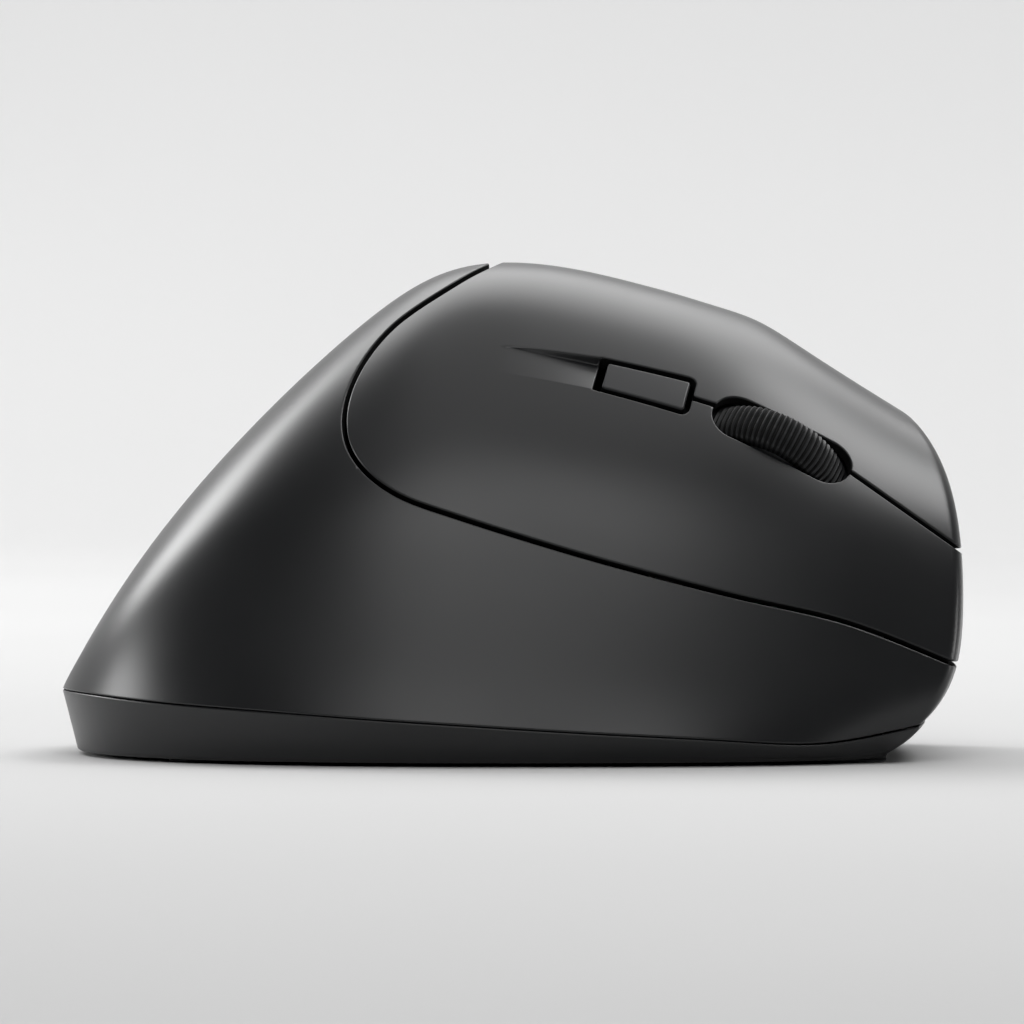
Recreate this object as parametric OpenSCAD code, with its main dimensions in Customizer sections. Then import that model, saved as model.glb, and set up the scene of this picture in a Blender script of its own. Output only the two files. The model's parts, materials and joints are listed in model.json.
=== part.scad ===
// Vertical ergonomic mouse, right-handed and wireless.
// +X points to the nose, +Y to the thumb side, +Z up. The feet stand on z = 0.

/* [Body] */
// Length of the skins, from tail to nose
body_l = 121; // [118:0.5:124]
// Width across the skirts
body_w = 78; // [76:0.5:80]
// Height of the ridge over the desk
body_h = 66; // [65:0.25:67]
// Wall of the moulded skins
wall = 2; // [1.8:0.1:2.2]
// Wall and floor of the base
base_wall = 1.9; // [1.7:0.1:2.1]
// Underside of the base over the desk
base_lift = 0.5; // [0.4:0.1:0.7]
// Lean of the base's band from the skins' edge down to the underside
base_lean = 1.9; // [1.6:0.1:2.2]

/* [Seams] */
// Seam around the finger panel, seen from the side
seam_gap = 0.6; // [0.5:0.05:0.7]
// Room ahead of the pressed edges, on the thumb side of the ridge and on the nose
press_gap = 1; // [0.9:0.05:1.2]
// Seam between the skins and the base's rim
rim_gap = 0.3; // [0.25:0.05:0.4]
// Where the two button leaves bend, from the middle of the body
hinge_x = 13; // [12.5:0.25:13.5]
// Gap at the bend of the leaves
hinge_gap = 0.5; // [0.4:0.05:0.6]

/* [Wheel] */
// Diameter over the ribs of the tyre
wheel_d = 25; // [24:0.25:25.5]
// Width of the tyre
wheel_w = 6.4; // [6:0.1:6.6]
// How far the wheel stands out of the skin
wheel_proud = 2.2; // [2:0.1:2.4]
// Middle of the wheel, from the middle of the body
wheel_x = 36; // [35.5:0.25:36.5]
// Ribs around the tyre
rib_count = 96; // [80:4:110]
// Depth of the grooves between the ribs
rib_depth = 0.35; // [0.25:0.05:0.45]
// Room between the wheel and each side of its slot
slot_side = 0.6; // [0.5:0.05:0.8]
// Length of the slot in the skin
slot_l = 20; // [19.6:0.1:20.4]
// Diameter of the steel axle
axle_d = 2; // [1.8:0.1:2.2]

/* [Buttons] */
// Length of the pointer-speed button
dpi_l = 11; // [10.6:0.1:11.4]
// Width of the pointer-speed button
dpi_w = 4.2; // [4:0.1:4.4]
// Gap around the pointer-speed button
dpi_gap = 0.8; // [0.7:0.05:0.9]
// Middle of the pointer-speed button, from the middle of the body
dpi_x = 18; // [17.8:0.1:18.2]
// Depth of the finger scoop behind it
scoop_depth = 1.3; // [1:0.1:1.5]
// Length of a thumb button
thumb_l = 18.4; // [18:0.1:18.6]
// Height of a thumb button
thumb_h = 8; // [7.6:0.1:8.2]
// Gap around the thumb buttons
thumb_gap = 0.5; // [0.4:0.05:0.6]

/* [Inside] */
// Thickness of the circuit boards
board_t = 1.2; // [1:0.1:1.6]
// Depth of the button board's face under the skin at the wheel
board_depth = 14; // [13.8:0.1:14.2]
// Diameter of the battery
battery_d = 14.4; // [14.2:0.1:14.5]
// Length of the battery
battery_l = 50; // [49.5:0.1:50.4]
// Clearance around turning and sliding fits
fit = 0.05; // [0.03:0.01:0.08]

/* [Hidden] */
$fn = 48;

soft_black = "#1b1c1e";

// Lines plan of the skins, drawn at this size and scaled to the body's own size
plan_size = [121, 78, 66];
plan_scale = [body_l / plan_size.x, body_w / plan_size.y, body_h / plan_size.z];
function scaled(p) = [p.x * plan_scale.x, p.y * plan_scale.y, p.z * plan_scale.z];
function scaled_side(p) = [p.x * plan_scale.x, p.y * plan_scale.z];
function scaled_plan(p) = [p.x * plan_scale.x, p.y * plan_scale.y];

// Every rail starts at the tail point and passes the stations, from tail to nose
tail = [-60.5, 0, 8.8];
stations = [-57.2, -48, -34, -19, -6, 10, 28, 45, 60.5];
// Each rail holds [y, z] at the stations. They run from the right edge over the ridge to the left edge.
right_edge = [[-14.5, 8.8], [-26, 8.2], [-34, 7.4], [-37.8, 6.4], [-38.9, 5.6],
    [-38.7, 4.6], [-36.8, 3.6], [-32.5, 3], [-26.5, 5]];
right_flare = [[-13.4, 10.4], [-24.4, 12.8], [-31.5, 13.8], [-35.4, 12.6], [-36.6, 11.6],
    [-36.4, 10.5], [-34.5, 9.2], [-31, 8.8], [-25.5, 11]];
right_flank = [[-11.4, 12.6], [-21.5, 19], [-27.6, 23.8], [-31, 25], [-32, 24.8],
    [-32, 23.6], [-30.8, 21.2], [-27.7, 18.9], [-23, 18]];
right_side = [[-8.5, 14.6], [-17, 25.2], [-22.3, 34.8], [-24.6, 40.2], [-25, 42.6],
    [-24.8, 42.2], [-24, 39], [-22, 34.2], [-18, 29.6]];
right_shoulder = [[-4.5, 14.7], [-8.5, 28.4], [-11, 43.8], [-10.2, 55.4], [-8, 61.6],
    [-6.5, 60.8], [-7, 56.4], [-6.6, 50.4], [-6.5, 41.5]];
ridge = [[0, 15.1], [1, 29.2], [3, 45.8], [6.5, 60.2], [9.5, 67.4],
    [11, 66.8], [10.5, 62.3], [9, 58.2], [6, 47]];
left_shoulder = [[4.5, 14.7], [10, 28.1], [14, 42.8], [18.5, 56], [22, 62.2],
    [24, 61.4], [23, 57.1], [21, 53], [16, 42.5]];
thumb_hollow = [[8.5, 14.4], [17.5, 24], [21, 30.6], [21, 35], [20, 37],
    [19.5, 36.8], [19.5, 34.8], [20, 31.8], [18.5, 28]];
thumb_shelf = [[12, 11.7], [22.5, 14.8], [27, 16.4], [27, 16], [27, 15.2],
    [28, 14.2], [28.5, 13.4], [25.5, 13], [21, 14.5]];
left_edge = [[14.5, 8.8], [25, 8.2], [31, 7.4], [34.5, 6.4], [37, 5.6],
    [38.6, 4.8], [38.4, 3.9], [33.5, 3.8], [23, 5.4]];
rails = [right_edge, right_flare, right_flank, right_side, right_shoulder,
    ridge, left_shoulder, thumb_hollow, thumb_shelf, left_edge];
stretches = len(stations);
crossings = len(rails) - 1;

// Weights of a uniform cubic spline at the fraction f of a stretch
function spline_weights(f) = [pow(1 - f, 3), 3 * pow(f, 3) - 6 * f * f + 4,
    -3 * pow(f, 3) + 3 * f * f + 3 * f + 1, pow(f, 3)] / 6;
function spline_at(c, u) =
    let (i = min(floor(u), len(c) - 4), w = spline_weights(u - i))
    w[0] * c[i] + w[1] * c[i + 1] + w[2] * c[i + 2] + w[3] * c[i + 3];
// A rail is mirrored at the tail, where both sides meet, and runs on straight at the nose
function rail_ends(c) = concat([[c[1].x, 2 * c[0].y - c[1].y, c[1].z]], c,
    [2 * c[len(c) - 1] - c[len(c) - 2]]);
// Control points of the spline that passes through the points p
function passing(p, c, rounds) = rounds == 0 ? rail_ends(c) :
    let (e = rail_ends(c))
    passing(p, [for (i = [0 : len(p) - 1]) c[i] + p[i] - (e[i] + 4 * e[i + 1] + e[i + 2]) / 6],
        rounds - 1);
function rail_points(r) = concat([tail], [for (i = [0 : stretches - 1]) [stations[i], r[i].x, r[i].y]]);
fit_rounds = 24;
net = [for (r = rails) let (p = rail_points(r)) passing(p, p, fit_rounds)];

// The nose is bowed: the sections lean back towards the top and the bottom, the more the nearer the nose
bow_start = 20;
bow_low = 21.4;
bow_y = -2;
bow_across = 0.0027;
bow_up = 0.00598;
bow_over = 9.4e-6;
bow_under = 5e-5;
function bow(y, z) = let (d = z - bow_low)
    bow_across * pow(y - bow_y, 2) + bow_up * d * d + (d > 0 ? bow_over : bow_under) * pow(d, 4);
function bowed(p) =
    let (f = max(0, (p.x - bow_start) / (stations[stretches - 1] - bow_start)))
    [p.x - bow(p.y, p.z) * f * f, p.y, p.z];
function section_at(s) = let (q = [for (c = net) spline_at(c, s)], n = crossings)
    concat([2 * q[0] - q[1]], q, [2 * q[n] - q[n - 1]]);
function on_section(q, t) = scaled(bowed(spline_at(q, t)));
// Point of the skin: s counts stations from the tail, t counts rails from the right edge
function skin(s, t) = on_section(section_at(s), t);
function unit(v) = v / norm(v);
function skin_normal(s, t, d = 0.02) =
    unit(cross(skin(s + d, t) - skin(s - d, t), skin(s, t + d) - skin(s, t - d)));
// Place [s, t] on the right flank that shows at [x, z] from the side
function across_for(q, z, lo, hi, n) = n == 0 ? (lo + hi) / 2 :
    let (m = (lo + hi) / 2)
    on_section(q, m).z < z ? across_for(q, z, m, hi, n - 1) : across_for(q, z, lo, m, n - 1);
function place(x, z, lo = 3, hi = stretches, n = 14) =
    let (m = (lo + hi) / 2, q = section_at(m), t = across_for(q, z, 0.5, 5, 14))
    n == 0 ? [m, t] : on_section(q, t).x < x ? place(x, z, m, hi, n - 1) : place(x, z, lo, m, n - 1);

// Rows of skin points from tail to nose, then rings that close the nose
rows = 50;
columns = 36;
rings = 5;
tail_start = 0.06;
function row_s(i) = tail_start + (stretches - tail_start) * i / rows;
skin_rows = [for (i = [0 : rows]) let (q = section_at(row_s(i)))
    [for (j = [0 : columns]) on_section(q, crossings * j / columns)]];
function row_normal(i, j) =
    let (i0 = max(i - 1, 0), i1 = min(i + 1, rows), j0 = max(j - 1, 0), j1 = min(j + 1, columns))
    unit(cross(skin_rows[i1][j] - skin_rows[i0][j], skin_rows[i][j1] - skin_rows[i][j0]));
// The nose closes towards its own middle
nose_mid = [-2, 21];
function nose_point(p, f, inset) =
    let (y = nose_mid.x + (p.y / plan_scale.y - nose_mid.x) * (1 - f),
        z = nose_mid.y + (p.z / plan_scale.z - nose_mid.y) * (1 - f))
    scaled([stations[stretches - 1] - bow(y, z), y, z]) - [inset, 0, 0];
nose_closing = 0.98;
function nose_rings(row, inset) = [for (k = [1 : rings])
    [for (p = row) nose_point(p, nose_closing * k / rings, inset)]];
// Solid through closed rows of points, with a flat face at both ends, or joined up into a ring
module lofted(r, ring = false) {
    n = len(r[0]);
    m = len(r);
    points = [for (row = r) each row];
    sides = [for (i = [0 : ring ? m - 1 : m - 2], j = [0 : n - 1])
        let (k = (j + 1) % n, next = (i + 1) % m * n) each
        [[i * n + j, i * n + k, next + j], [i * n + k, next + k, next + j]]];
    ends = [[for (j = [n - 1 : -1 : 0]) j], [for (j = [0 : n - 1]) (m - 1) * n + j]];
    polyhedron(points, ring ? sides : concat(sides, ends), convexity = 8);
}
module outer_solid() lofted(concat(skin_rows, nose_rings(skin_rows[rows], 0)));
// Inside of the skins, open towards the base
open_depth = 14;
inner_start = 8;
function inner_row(i) =
    let (back = i == rows ? [wall, 0, 0] : [0, 0, 0],
        line = [for (j = [0 : columns]) skin_rows[i][j] - wall * row_normal(i, j) - back])
    concat([line[0] - [0, 0, open_depth]], line, [line[columns] - [0, 0, open_depth]]);
module inner_solid() {
    inner_rows = [for (i = [inner_start : rows]) inner_row(i)];
    lofted(concat(inner_rows, nose_rings(inner_rows[rows - inner_start], wall)));
}

// Seams, drawn from the side as [x, z] and from above as [x, y], and smoothed between the points
function last(p) = p[len(p) - 1];
function smooth_step(a, b, c, d, f) = 0.5 * (2 * b + (c - a) * f + (2 * a - 5 * b + 4 * c - d) * f * f
    + (3 * b - a - 3 * c + d) * pow(f, 3));
function smooth_line(p, n = 8) = let (end = len(p) - 1) concat([for (i = [0 : end - 1], k = [0 : n - 1])
    smooth_step(p[max(i - 1, 0)], p[i], p[i + 1], p[min(i + 2, end)], k / n)], [p[end]]);
panel_line = [[64, 10.4], [58.2, 13.1], [44, 18.7], [28.5, 22.4], [10.7, 27.1], [-7, 32.5], [-15.6, 35.7],
    [-20.7, 40], [-22.3, 45.2], [-20.6, 51.4], [-15.8, 57.6], [-7.8, 63.1], [-2.8, 65.8], [3, 68.2]];
panel_side = [for (p = smooth_line(panel_line)) scaled_side(p)];
left_line = [[-5, 8], [-2.8, 10.5], [3, 14.8], [10, 17], [28, 16.6], [45, 14], [54, 10.5], [64, 9]];
left_plan = [for (p = smooth_line(left_line)) scaled_plan(p)];
split_line = [[10, 51.6], [24.2, 48], [27.1, 47.1], [44.6, 38.5], [59.2, 28.2], [64, 24.8]];
split_side = [for (p = split_line) scaled_side(p)];
thumb_line = [[2, 70], [-4.5, 62], [-13, 38], [-20, 18], [-25, -4]];
thumb_side = [for (p = smooth_line(thumb_line)) scaled_side(p)];
far = 2 * body_l;
// The seams, carried on past both ends of the body
left_run = concat([[-far, left_plan[0].y]], left_plan, [[far, last(left_plan).y]]);
split_run = concat([[-far, split_side[0].y]], split_side, [[far, last(split_side).y]]);
module side_prism(points, grow = 0) rotate([90, 0, 0]) linear_extrude(far, center = true)
    offset(delta = grow) polygon(points);
module plan_prism(points, grow = 0) translate([0, 0, -body_h]) linear_extrude(far)
    offset(delta = grow) polygon(points);
module panel_zone(side_grow, plan_grow) intersection() {
    side_prism(concat(panel_side, [[far, far], [far, panel_side[0].y]]), side_grow);
    plan_prism(concat([[-far, -far]], left_run, [[far, -far]]), plan_grow);
}
module thumb_zone(grow) intersection() {
    plan_prism(concat(left_run, [[far, far], [-far, far]]), grow - press_gap);
    side_prism(concat(thumb_side, [[far, last(thumb_side).y], [far, far]]), grow);
}
// Half of the panel over the split between the two leaves
module over_split(gap) side_prism(concat([for (p = split_run) p + [0, gap]], [[far, far], [-far, far]]));

// Places that the wheel and the small button are measured from: [skin point, forward, up the slope, outward]
frame_reach = 3;
function split_place(x) = place(x, lookup(x, split_side));
function skin_frame(x) =
    let (a = split_place(x - frame_reach), b = split_place(x + frame_reach), m = split_place(x),
        out = skin_normal(m[0], m[1]), run = skin(b[0], b[1]) - skin(a[0], a[1]),
        ahead = unit(run - out * (run * out)))
    [skin(m[0], m[1]), ahead, cross(out, ahead), out];
wheel_frame = skin_frame(wheel_x);
dpi_frame = skin_frame(dpi_x);
function frame_matrix(f) = [for (i = [0 : 2]) [f[1][i], f[2][i], f[3][i], f[0][i]]];
function in_world(f, p) = f[0] + f[1] * p.x + f[2] * p.y + f[3] * p.z;
function in_frame(f, p) = let (d = p - f[0]) [d * f[1], d * f[2], d * f[3]];
module at_frame(f) multmatrix(frame_matrix(f)) children();

// Small helpers: a range around a middle, a block between three ranges, and copies on both sides
function around(mid, half) = [mid - half, mid + half];
module slab(x, y, z) translate([x[0], y[0], z[0]]) cube([x[1] - x[0], y[1] - y[0], z[1] - z[0]]);
module middle_slab(size, z) slab(around(0, size.x / 2), around(0, size.y / 2), z);
module both_sides() for (side = [-1, 1]) mirror([0, side > 0 ? 0 : 1, 0]) children();
module rounded_slab(l, w, h, r) linear_extrude(h) offset(r = r) square([l - 2 * r, w - 2 * r], center = true);
// Sinks a piece's root into what carries it, so that the two are one solid
root = 0.5;
// Lap between two blocks of one piece
lap = 0.1;

// Openings in the finger panel
wheel_r = wheel_d / 2;
slot_w = wheel_w + 2 * slot_side;
slot_lip = 1.6;
slot_relief = [4, 1.6];
slot_relief_r = 2;
slot_end_flat = 0.2;
through = 12;
module wheel_slot() at_frame(wheel_frame) translate([0, 0, -through]) {
    rounded_slab(slot_l, slot_w, 2 * through, (slot_w - slot_end_flat) / 2);
    // The wall is cut back behind the slot's lip, clear of the wheel
    rounded_slab(slot_l + slot_relief.x, slot_w + slot_relief.y, through - slot_lip, slot_relief_r);
}
dpi_r = 0.5;
pocket_r = 0.9;
pocket_size = [dpi_l + 2 * dpi_gap, dpi_w + 2 * dpi_gap];
module dpi_pocket() at_frame(dpi_frame) translate([0, 0, -through])
    rounded_slab(pocket_size.x, pocket_size.y, 2 * through, pocket_r);
// The scoop deepens towards the small button, most of all along its upper side
scoop_l = 13.5;
scoop_tip = 1.4;
scoop_start = 0.2;
scoop_over = 4;
scoop_lap = 0.3;
speck = 0.01;
module scoop_corner(x, y, depth) for (z = [-depth, scoop_over - depth]) translate([x, y, z]) cube(speck);
module finger_scoop() at_frame(dpi_frame) hull() for (side = [-1, 1]) {
    scoop_corner(scoop_lap - pocket_size.x / 2, side * pocket_size.y / 2, side > 0 ? scoop_depth : 0);
    scoop_corner(-pocket_size.x / 2 - scoop_l, side * scoop_tip, scoop_start);
}
// Thumb keys: their outline from the side leans with the ridge
thumb_slope = -0.28;
thumb_skew = 0.12;
thumb_r = 1.6;
thumb_mid = scaled_side([17.2, 52.8]);
thumb_inner = 6;
function thumb_at(side) = thumb_mid + side * (thumb_l + thumb_gap) / 2 * [1, thumb_slope];
module thumb_outline(side, grow) translate(thumb_at(side))
    multmatrix([[1, thumb_skew, 0, 0], [thumb_slope, 1, 0, 0]])
    offset(r = thumb_r + grow) square([thumb_l - 2 * thumb_r, thumb_h - 2 * thumb_r], center = true);
module thumb_prism(side, grow) translate([0, body_w, 0]) rotate([90, 0, 0])
    linear_extrude(body_w - thumb_inner) thumb_outline(side, grow);

// Wheel, its cradle and the button board, in the wheel's frame
axle_z = wheel_proud - wheel_r;
axle_r = axle_d / 2;
tyre_t = 2.4;
hub_r = wheel_r - tyre_t;
hub_inset = 0.3;
arm_t = 1.5;
arm_gap = 0.5;
arm_y = wheel_w / 2 + arm_gap;
arm_h = 4.6;
arm_z = around(axle_z, arm_h / 2);
bar_t = 3;
bar_x = wheel_r + 0.7;
bar_end = bar_x + bar_t;
pin_d = 1.6;
pin_x = -bar_x - bar_t / 2;
encoder_size = [11, 3.4, 6.4];
encoder_lap = 2.2;
axle_ends = [-arm_y - arm_t, arm_y + arm_t + encoder_lap];
board_z = -board_depth;
board_x = [-25, 19];
board_y = [-15.5, 15.5];
board_room = 0.4;
plate_t = 1.5;
plate_x = [board_x[0] + 0.3, board_x[1] - 1.2];
plate_y = [-14.5, 16];
standoff_h = 2.8;
plate_z = board_z - board_t - standoff_h;
plate_cut = [wheel_r - 1, 2];
// The legs stand under these places of the chassis plate
leg_seats = [[-18.9, -11], [13.8, -10.7], [13.2, 13.6], [-18.7, 13.5]];
leg_d = 6;
legs = [for (s = leg_seats) in_world(wheel_frame, [s.x, s.y, plate_z - plate_t / 2])];
// Upper edge of the plate, which carries the thumb keys' bracket
plate_edge = in_world(wheel_frame, [leg_seats[3].x, plate_y[1], plate_z - plate_t / 2]);
standoff_d = 4.2;
standoffs = [[-22.5, -12], [-22.5, 12.5], [15.5, -12], [13, 12.5]];
micro_size = [12.8, 5.8, 6.5];
micro_y = 12;
micro_x = 2;
micro_well = 2;
plunger_x = micro_x + 4;
plunger_size = [1.4, 2.8];
plunger_foot = 1.2;
plunger_rise = 0.7;
tact_size = [4.5, 4.5, 2.2];
tact_well = 1.2;
tact_plunger_d = 2.2;
tact_foot = 0.7;
tact_rise = 0.9;
tact_top = board_z + tact_size.z + tact_rise;
dpi_tact = [-19, -1];
wheel_tact = [bar_x + bar_t / 2 + 0.4, 0];
// Air between a key's stem and the plunger that it presses
stem_air = 0.1;
stem_d = 3;
dpi_stem_d = 2.6;
dpi_stem_air = 0.3;
stem_sides = 24;
ear_t = 2;
ear_l = 5;
ear_rise = 2;
ear_y = arm_y + arm_t + 0.4;
ear_room = [1, 0.8];
pin_l = 2 * (ear_y + ear_t);
// Foot of the small button's stem, over its switch, in the button's own frame
dpi_stem = in_frame(dpi_frame, in_world(wheel_frame, [dpi_tact.x, dpi_tact.y, tact_top + dpi_stem_air]));

// Base: the skins' lower edge, followed round from the tail along the right side, the nose and the left side
nose_steps = 8;
edge_right = [for (i = [1 : rows]) skin_rows[i][0]];
edge_left = [for (i = [rows : -1 : 1]) skin_rows[i][columns]];
edge_nose = [for (k = [1 : nose_steps - 1])
    let (from = edge_right[rows - 1], p = from + (edge_left[0] - from) * k / nose_steps) nose_point(p, 0, 0)];
edge = concat(edge_right, edge_nose, edge_left);
edge_n = len(edge);
// Inward direction of the edge, seen from above
function edge_in(j) = let (d = edge[(j + 1) % edge_n] - edge[(j + edge_n - 1) % edge_n]) unit([-d.y, d.x, 0]);
floor_z = base_lift + base_wall;
nose_lean = 4;
nose_lift = 1.8;
lift_from = 44;
lift_to = 59;
function nose_share(x) = max(0, (x - lift_from) / (lift_to - lift_from));
// Underside of the base, which rises towards the nose
function under_z(x) = base_lift + nose_lift * pow(nose_share(x), 2);
function base_ring(inset, nose_inset, rim_share, lift) = [for (j = [0 : edge_n - 1])
    let (p = edge[j] + edge_in(j) * inset - [nose_inset * nose_share(edge[j].x), 0, 0])
    [p.x, p.y, rim_share * (edge[j].z - rim_gap) + (1 - rim_share) * under_z(p.x) + lift]];
function flat_ring(share, z) = [for (p = edge) [share * p.x, share * p.y, z]];
rim_slope = 0.8;
flat_share = 0.78;
// The band bulges: this share of the lean lies over this share of its height
bulge = [0.7, 0.45];
bulge_rim = 0.3;
// From the floor inside, over the rim and down the band, to the underside
base_rings = [
    flat_ring(flat_share, floor_z),
    base_ring(base_lean + base_wall, nose_lean, 0, base_wall),
    base_ring(base_wall, 0, 1, -rim_slope),
    base_ring(0, 0, 1, 0),
    base_ring(base_lean * bulge.x, nose_lean * bulge.y, bulge_rim, 0),
    base_ring(base_lean, nose_lean, 0, 0),
    flat_ring(flat_share, base_lift)];

// Places under the skins
battery_room = 0.6;
battery_r = battery_d / 2;
nub = [5.5, 1];
door_t = 1.6;
door_gap = 0.3;
door_air = 0.4;
battery_z = base_lift + door_t + door_air + battery_r;
bay_w = battery_d + battery_room;
bay_mid = 4;
bay_y = around(bay_mid, bay_w / 2);
spring_l = 4;
spring_air = 0.5;
spring_turns = 5;
spring_wire = 0.7;
spring_steps = 12;
spring_sides = 6;
spring_r = [5, 2.5];
spring_lap = 0.1;
plate_room = 1.4;
bay_back = scaled_plan([-50, bay_mid]).x;
bay_x = [bay_back, bay_back + spring_air + spring_l + battery_l + plate_room];
bay_wall = 1.2;
bay_top = battery_z + 3.5;
bay_ledge = [2, 0.4];
bay_mouth = [bay_x[0] + bay_ledge[0], bay_x[1] - bay_ledge[1]];
contact_t = 0.6;
contact_back = 0.9;
contact_y = [-4.5, 4.5];
contact_z = [-5, 4];
hook_y = 5;
hook_size = [1.2, 3];
hook_top = floor_z + 1.1;
main_room = [1, 0.5];
main_x = [legs[0].x + leg_d / 2 + main_room[0], legs[1].x - leg_d / 2 - main_room[1]];
main_mid = (main_x[0] + main_x[1]) / 2;
main_y = [-22, 23];
main_z = 6.8;
main_top = main_z + board_t;
main_inset = 2.5;
post_d = 4;
sensor_at = [main_mid, -4];
sensor_size = [10, 11, 2.2];
sensor_eye = [6, 4];
sensor_window = [9, 6];
lens_size = [13, 9];
lens_gap = [0.05, 0.25];
chip_at = [main_mid + 3, 12.5];
chip_size = [7, 7, 1];
// The ribbon runs up from the main board past the lower edge of the button board
ribbon_w = 4.4;
ribbon_t = 0.3;
ribbon_air = 0.85;
ribbon_seat = in_world(wheel_frame, [-7, board_y[0], board_z - board_t / 2]);
ribbon_x = around(ribbon_seat.x, ribbon_w / 2);
ribbon_y = [ribbon_seat.y - ribbon_air - ribbon_t, ribbon_seat.y - ribbon_air];
ribbon_z = [main_top + fit, ribbon_seat.z + ribbon_t];
power_at = [main_mid - 1, 14];
power_travel = 3;
power_size = [9, 4, 3];
knob = [6.2, 4];
knob_gap = 0.2;
knob_lip = [1, 1.2];
knob_z = [base_lift + 0.3, floor_z + 0.3];
lip_z = [floor_z + 0.1, floor_z + 0.9];
receiver_at = scaled_plan([-22, -19.5]);
receiver_z = base_lift + 0.2;
cap_size = [14.4, 6.1, 5.6];
plug_size = [12, 4.5, 12];
plug_wall = 0.4;
plug_floor = 2;
pocket_gap = 0.25;
pocket_end = 0.3;
sleeve_wall = 1.4;
screw_d = 2;
screw_head = [3.8, 1.2];
screw_z = 1.1;
screw_l = 8.9;
screw_depth = 8;
screw_room = [0.6, 0.1];
case_bosses = [for (p = [[38, -27, 17], [-27, -28, 27], [-27, 25, 20]]) scaled(p)];
thumb_boss = scaled([26, 27, 18]);
boss_d = 6;
pad_d = 7;
pad_top = floor_z + 2;
leg_room = 1.2;
pads = concat(case_bosses, [thumb_boss], legs);
small_screw = [1.6, 3, 0.9];
small_grip = [3.3, 3.9];
small_hole = 0.2;
bore_end = 0.2;
foot_t = 0.9;
foot_size = [13, 6];
foot_gap = 0.1;
front_foot = scaled_plan([43, 23]);
rear_foot = scaled_plan([-39, 22]);
bracket_t = 1.5;
bracket_lap = 0.275;
bracket_y = [plate_edge.y - bracket_lap, plate_edge.y - bracket_lap + bracket_t];
bracket_x = [-14, 14];
bracket_z = [-9, 3.5];
bracket_post = [11, 4];
bracket_rise = 0.5;
thumb_board_y = bracket_y[1] + bracket_rise;
thumb_board_size = [33, 9];
thumb_tact_y = thumb_board_y + board_t;
thumb_lean = atan(-thumb_slope);

// Skins
module skin_shell() difference() {
    outer_solid();
    inner_solid();
}
// A skin cut from the whole shell; the cut piece is kept as one mesh
module cut_skin() resize([0, 0, 0]) children();
module bosses(list) intersection() {
    outer_solid();
    for (b = list) translate([b.x, b.y, pad_top + fit])
        cylinder(d = boss_d, h = b.z - pad_top, $fn = stem_sides);
}
module screw_bores(list) for (b = list) translate([b.x, b.y, 0])
    cylinder(d = screw_d + 2 * fit, h = pad_top + screw_depth);
module palm_shell() color(soft_black) difference() {
    cut_skin() difference() {
        union() {
            skin_shell();
            bosses(case_bosses);
        }
        panel_zone(seam_gap / 2, press_gap - seam_gap / 2);
        thumb_zone(seam_gap);
    }
    screw_bores(case_bosses);
}
module panel_cuts() {
    wheel_slot();
    dpi_pocket();
    finger_scoop();
}
module behind_hinge(shift) translate([hinge_x + shift - far, -far / 2, -far / 2]) cube(far);
module finger_panel() color(soft_black) cut_skin() difference() {
    intersection() {
        skin_shell();
        panel_zone(-seam_gap / 2, 0);
        behind_hinge(-hinge_gap / 2);
    }
    panel_cuts();
}
module leaf() difference() {
    intersection() {
        skin_shell();
        panel_zone(-seam_gap / 2, 0);
    }
    behind_hinge(hinge_gap / 2);
    panel_cuts();
}
// Stem that runs inward from a skin to its foot, in a frame
module stem(f, foot, d) intersection() {
    outer_solid();
    at_frame(f) translate(foot) cylinder(d = d, h = -foot.z, $fn = stem_sides);
}
leaf_foot = board_z + micro_size.z + plunger_rise + stem_air;
module leaf_stem(side) stem(wheel_frame, [plunger_x, side * micro_y, leaf_foot], stem_d);
module index_button() color(soft_black) cut_skin() {
    intersection() {
        leaf();
        over_split(seam_gap / 2);
    }
    leaf_stem(1);
}
module middle_button() color(soft_black) cut_skin() {
    difference() {
        leaf();
        over_split(-seam_gap / 2);
    }
    leaf_stem(-1);
}
module thumb_panel() color("#232426") difference() {
    cut_skin() difference() {
        intersection() {
            union() {
                skin_shell();
                bosses([thumb_boss]);
            }
            thumb_zone(0);
        }
        for (side = [-1, 1]) thumb_prism(side, thumb_gap);
    }
    screw_bores([thumb_boss]);
}
// Places its children on a thumb key's line of travel, facing the thumb
module thumb_axis(side, y) translate([thumb_at(side).x, y, thumb_at(side).y]) rotate([-90, 0, 0]) children();
thumb_foot = thumb_tact_y + tact_size.z + tact_rise + stem_air;
module thumb_key(side) cut_skin() {
    intersection() {
        skin_shell();
        thumb_prism(side, 0);
    }
    intersection() {
        outer_solid();
        thumb_axis(side, thumb_foot) cylinder(d = stem_d, h = body_w, $fn = stem_sides);
    }
}
module forward_button() color("#2a2b2e") thumb_key(1);
module back_button() color("#2a2b2e") thumb_key(-1);
module dpi_button() color("#26272a") cut_skin() {
    intersection() {
        skin_shell();
        at_frame(dpi_frame) translate([0, 0, -through]) rounded_slab(dpi_l, dpi_w, 2 * through, dpi_r);
    }
    stem(dpi_frame, dpi_stem, dpi_stem_d);
}

// Wheel
module across(x, y, r) at_frame(wheel_frame) translate([x, y[1], axle_z]) rotate([90, 0, 0])
    cylinder(r = r, h = y[1] - y[0]);
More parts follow.
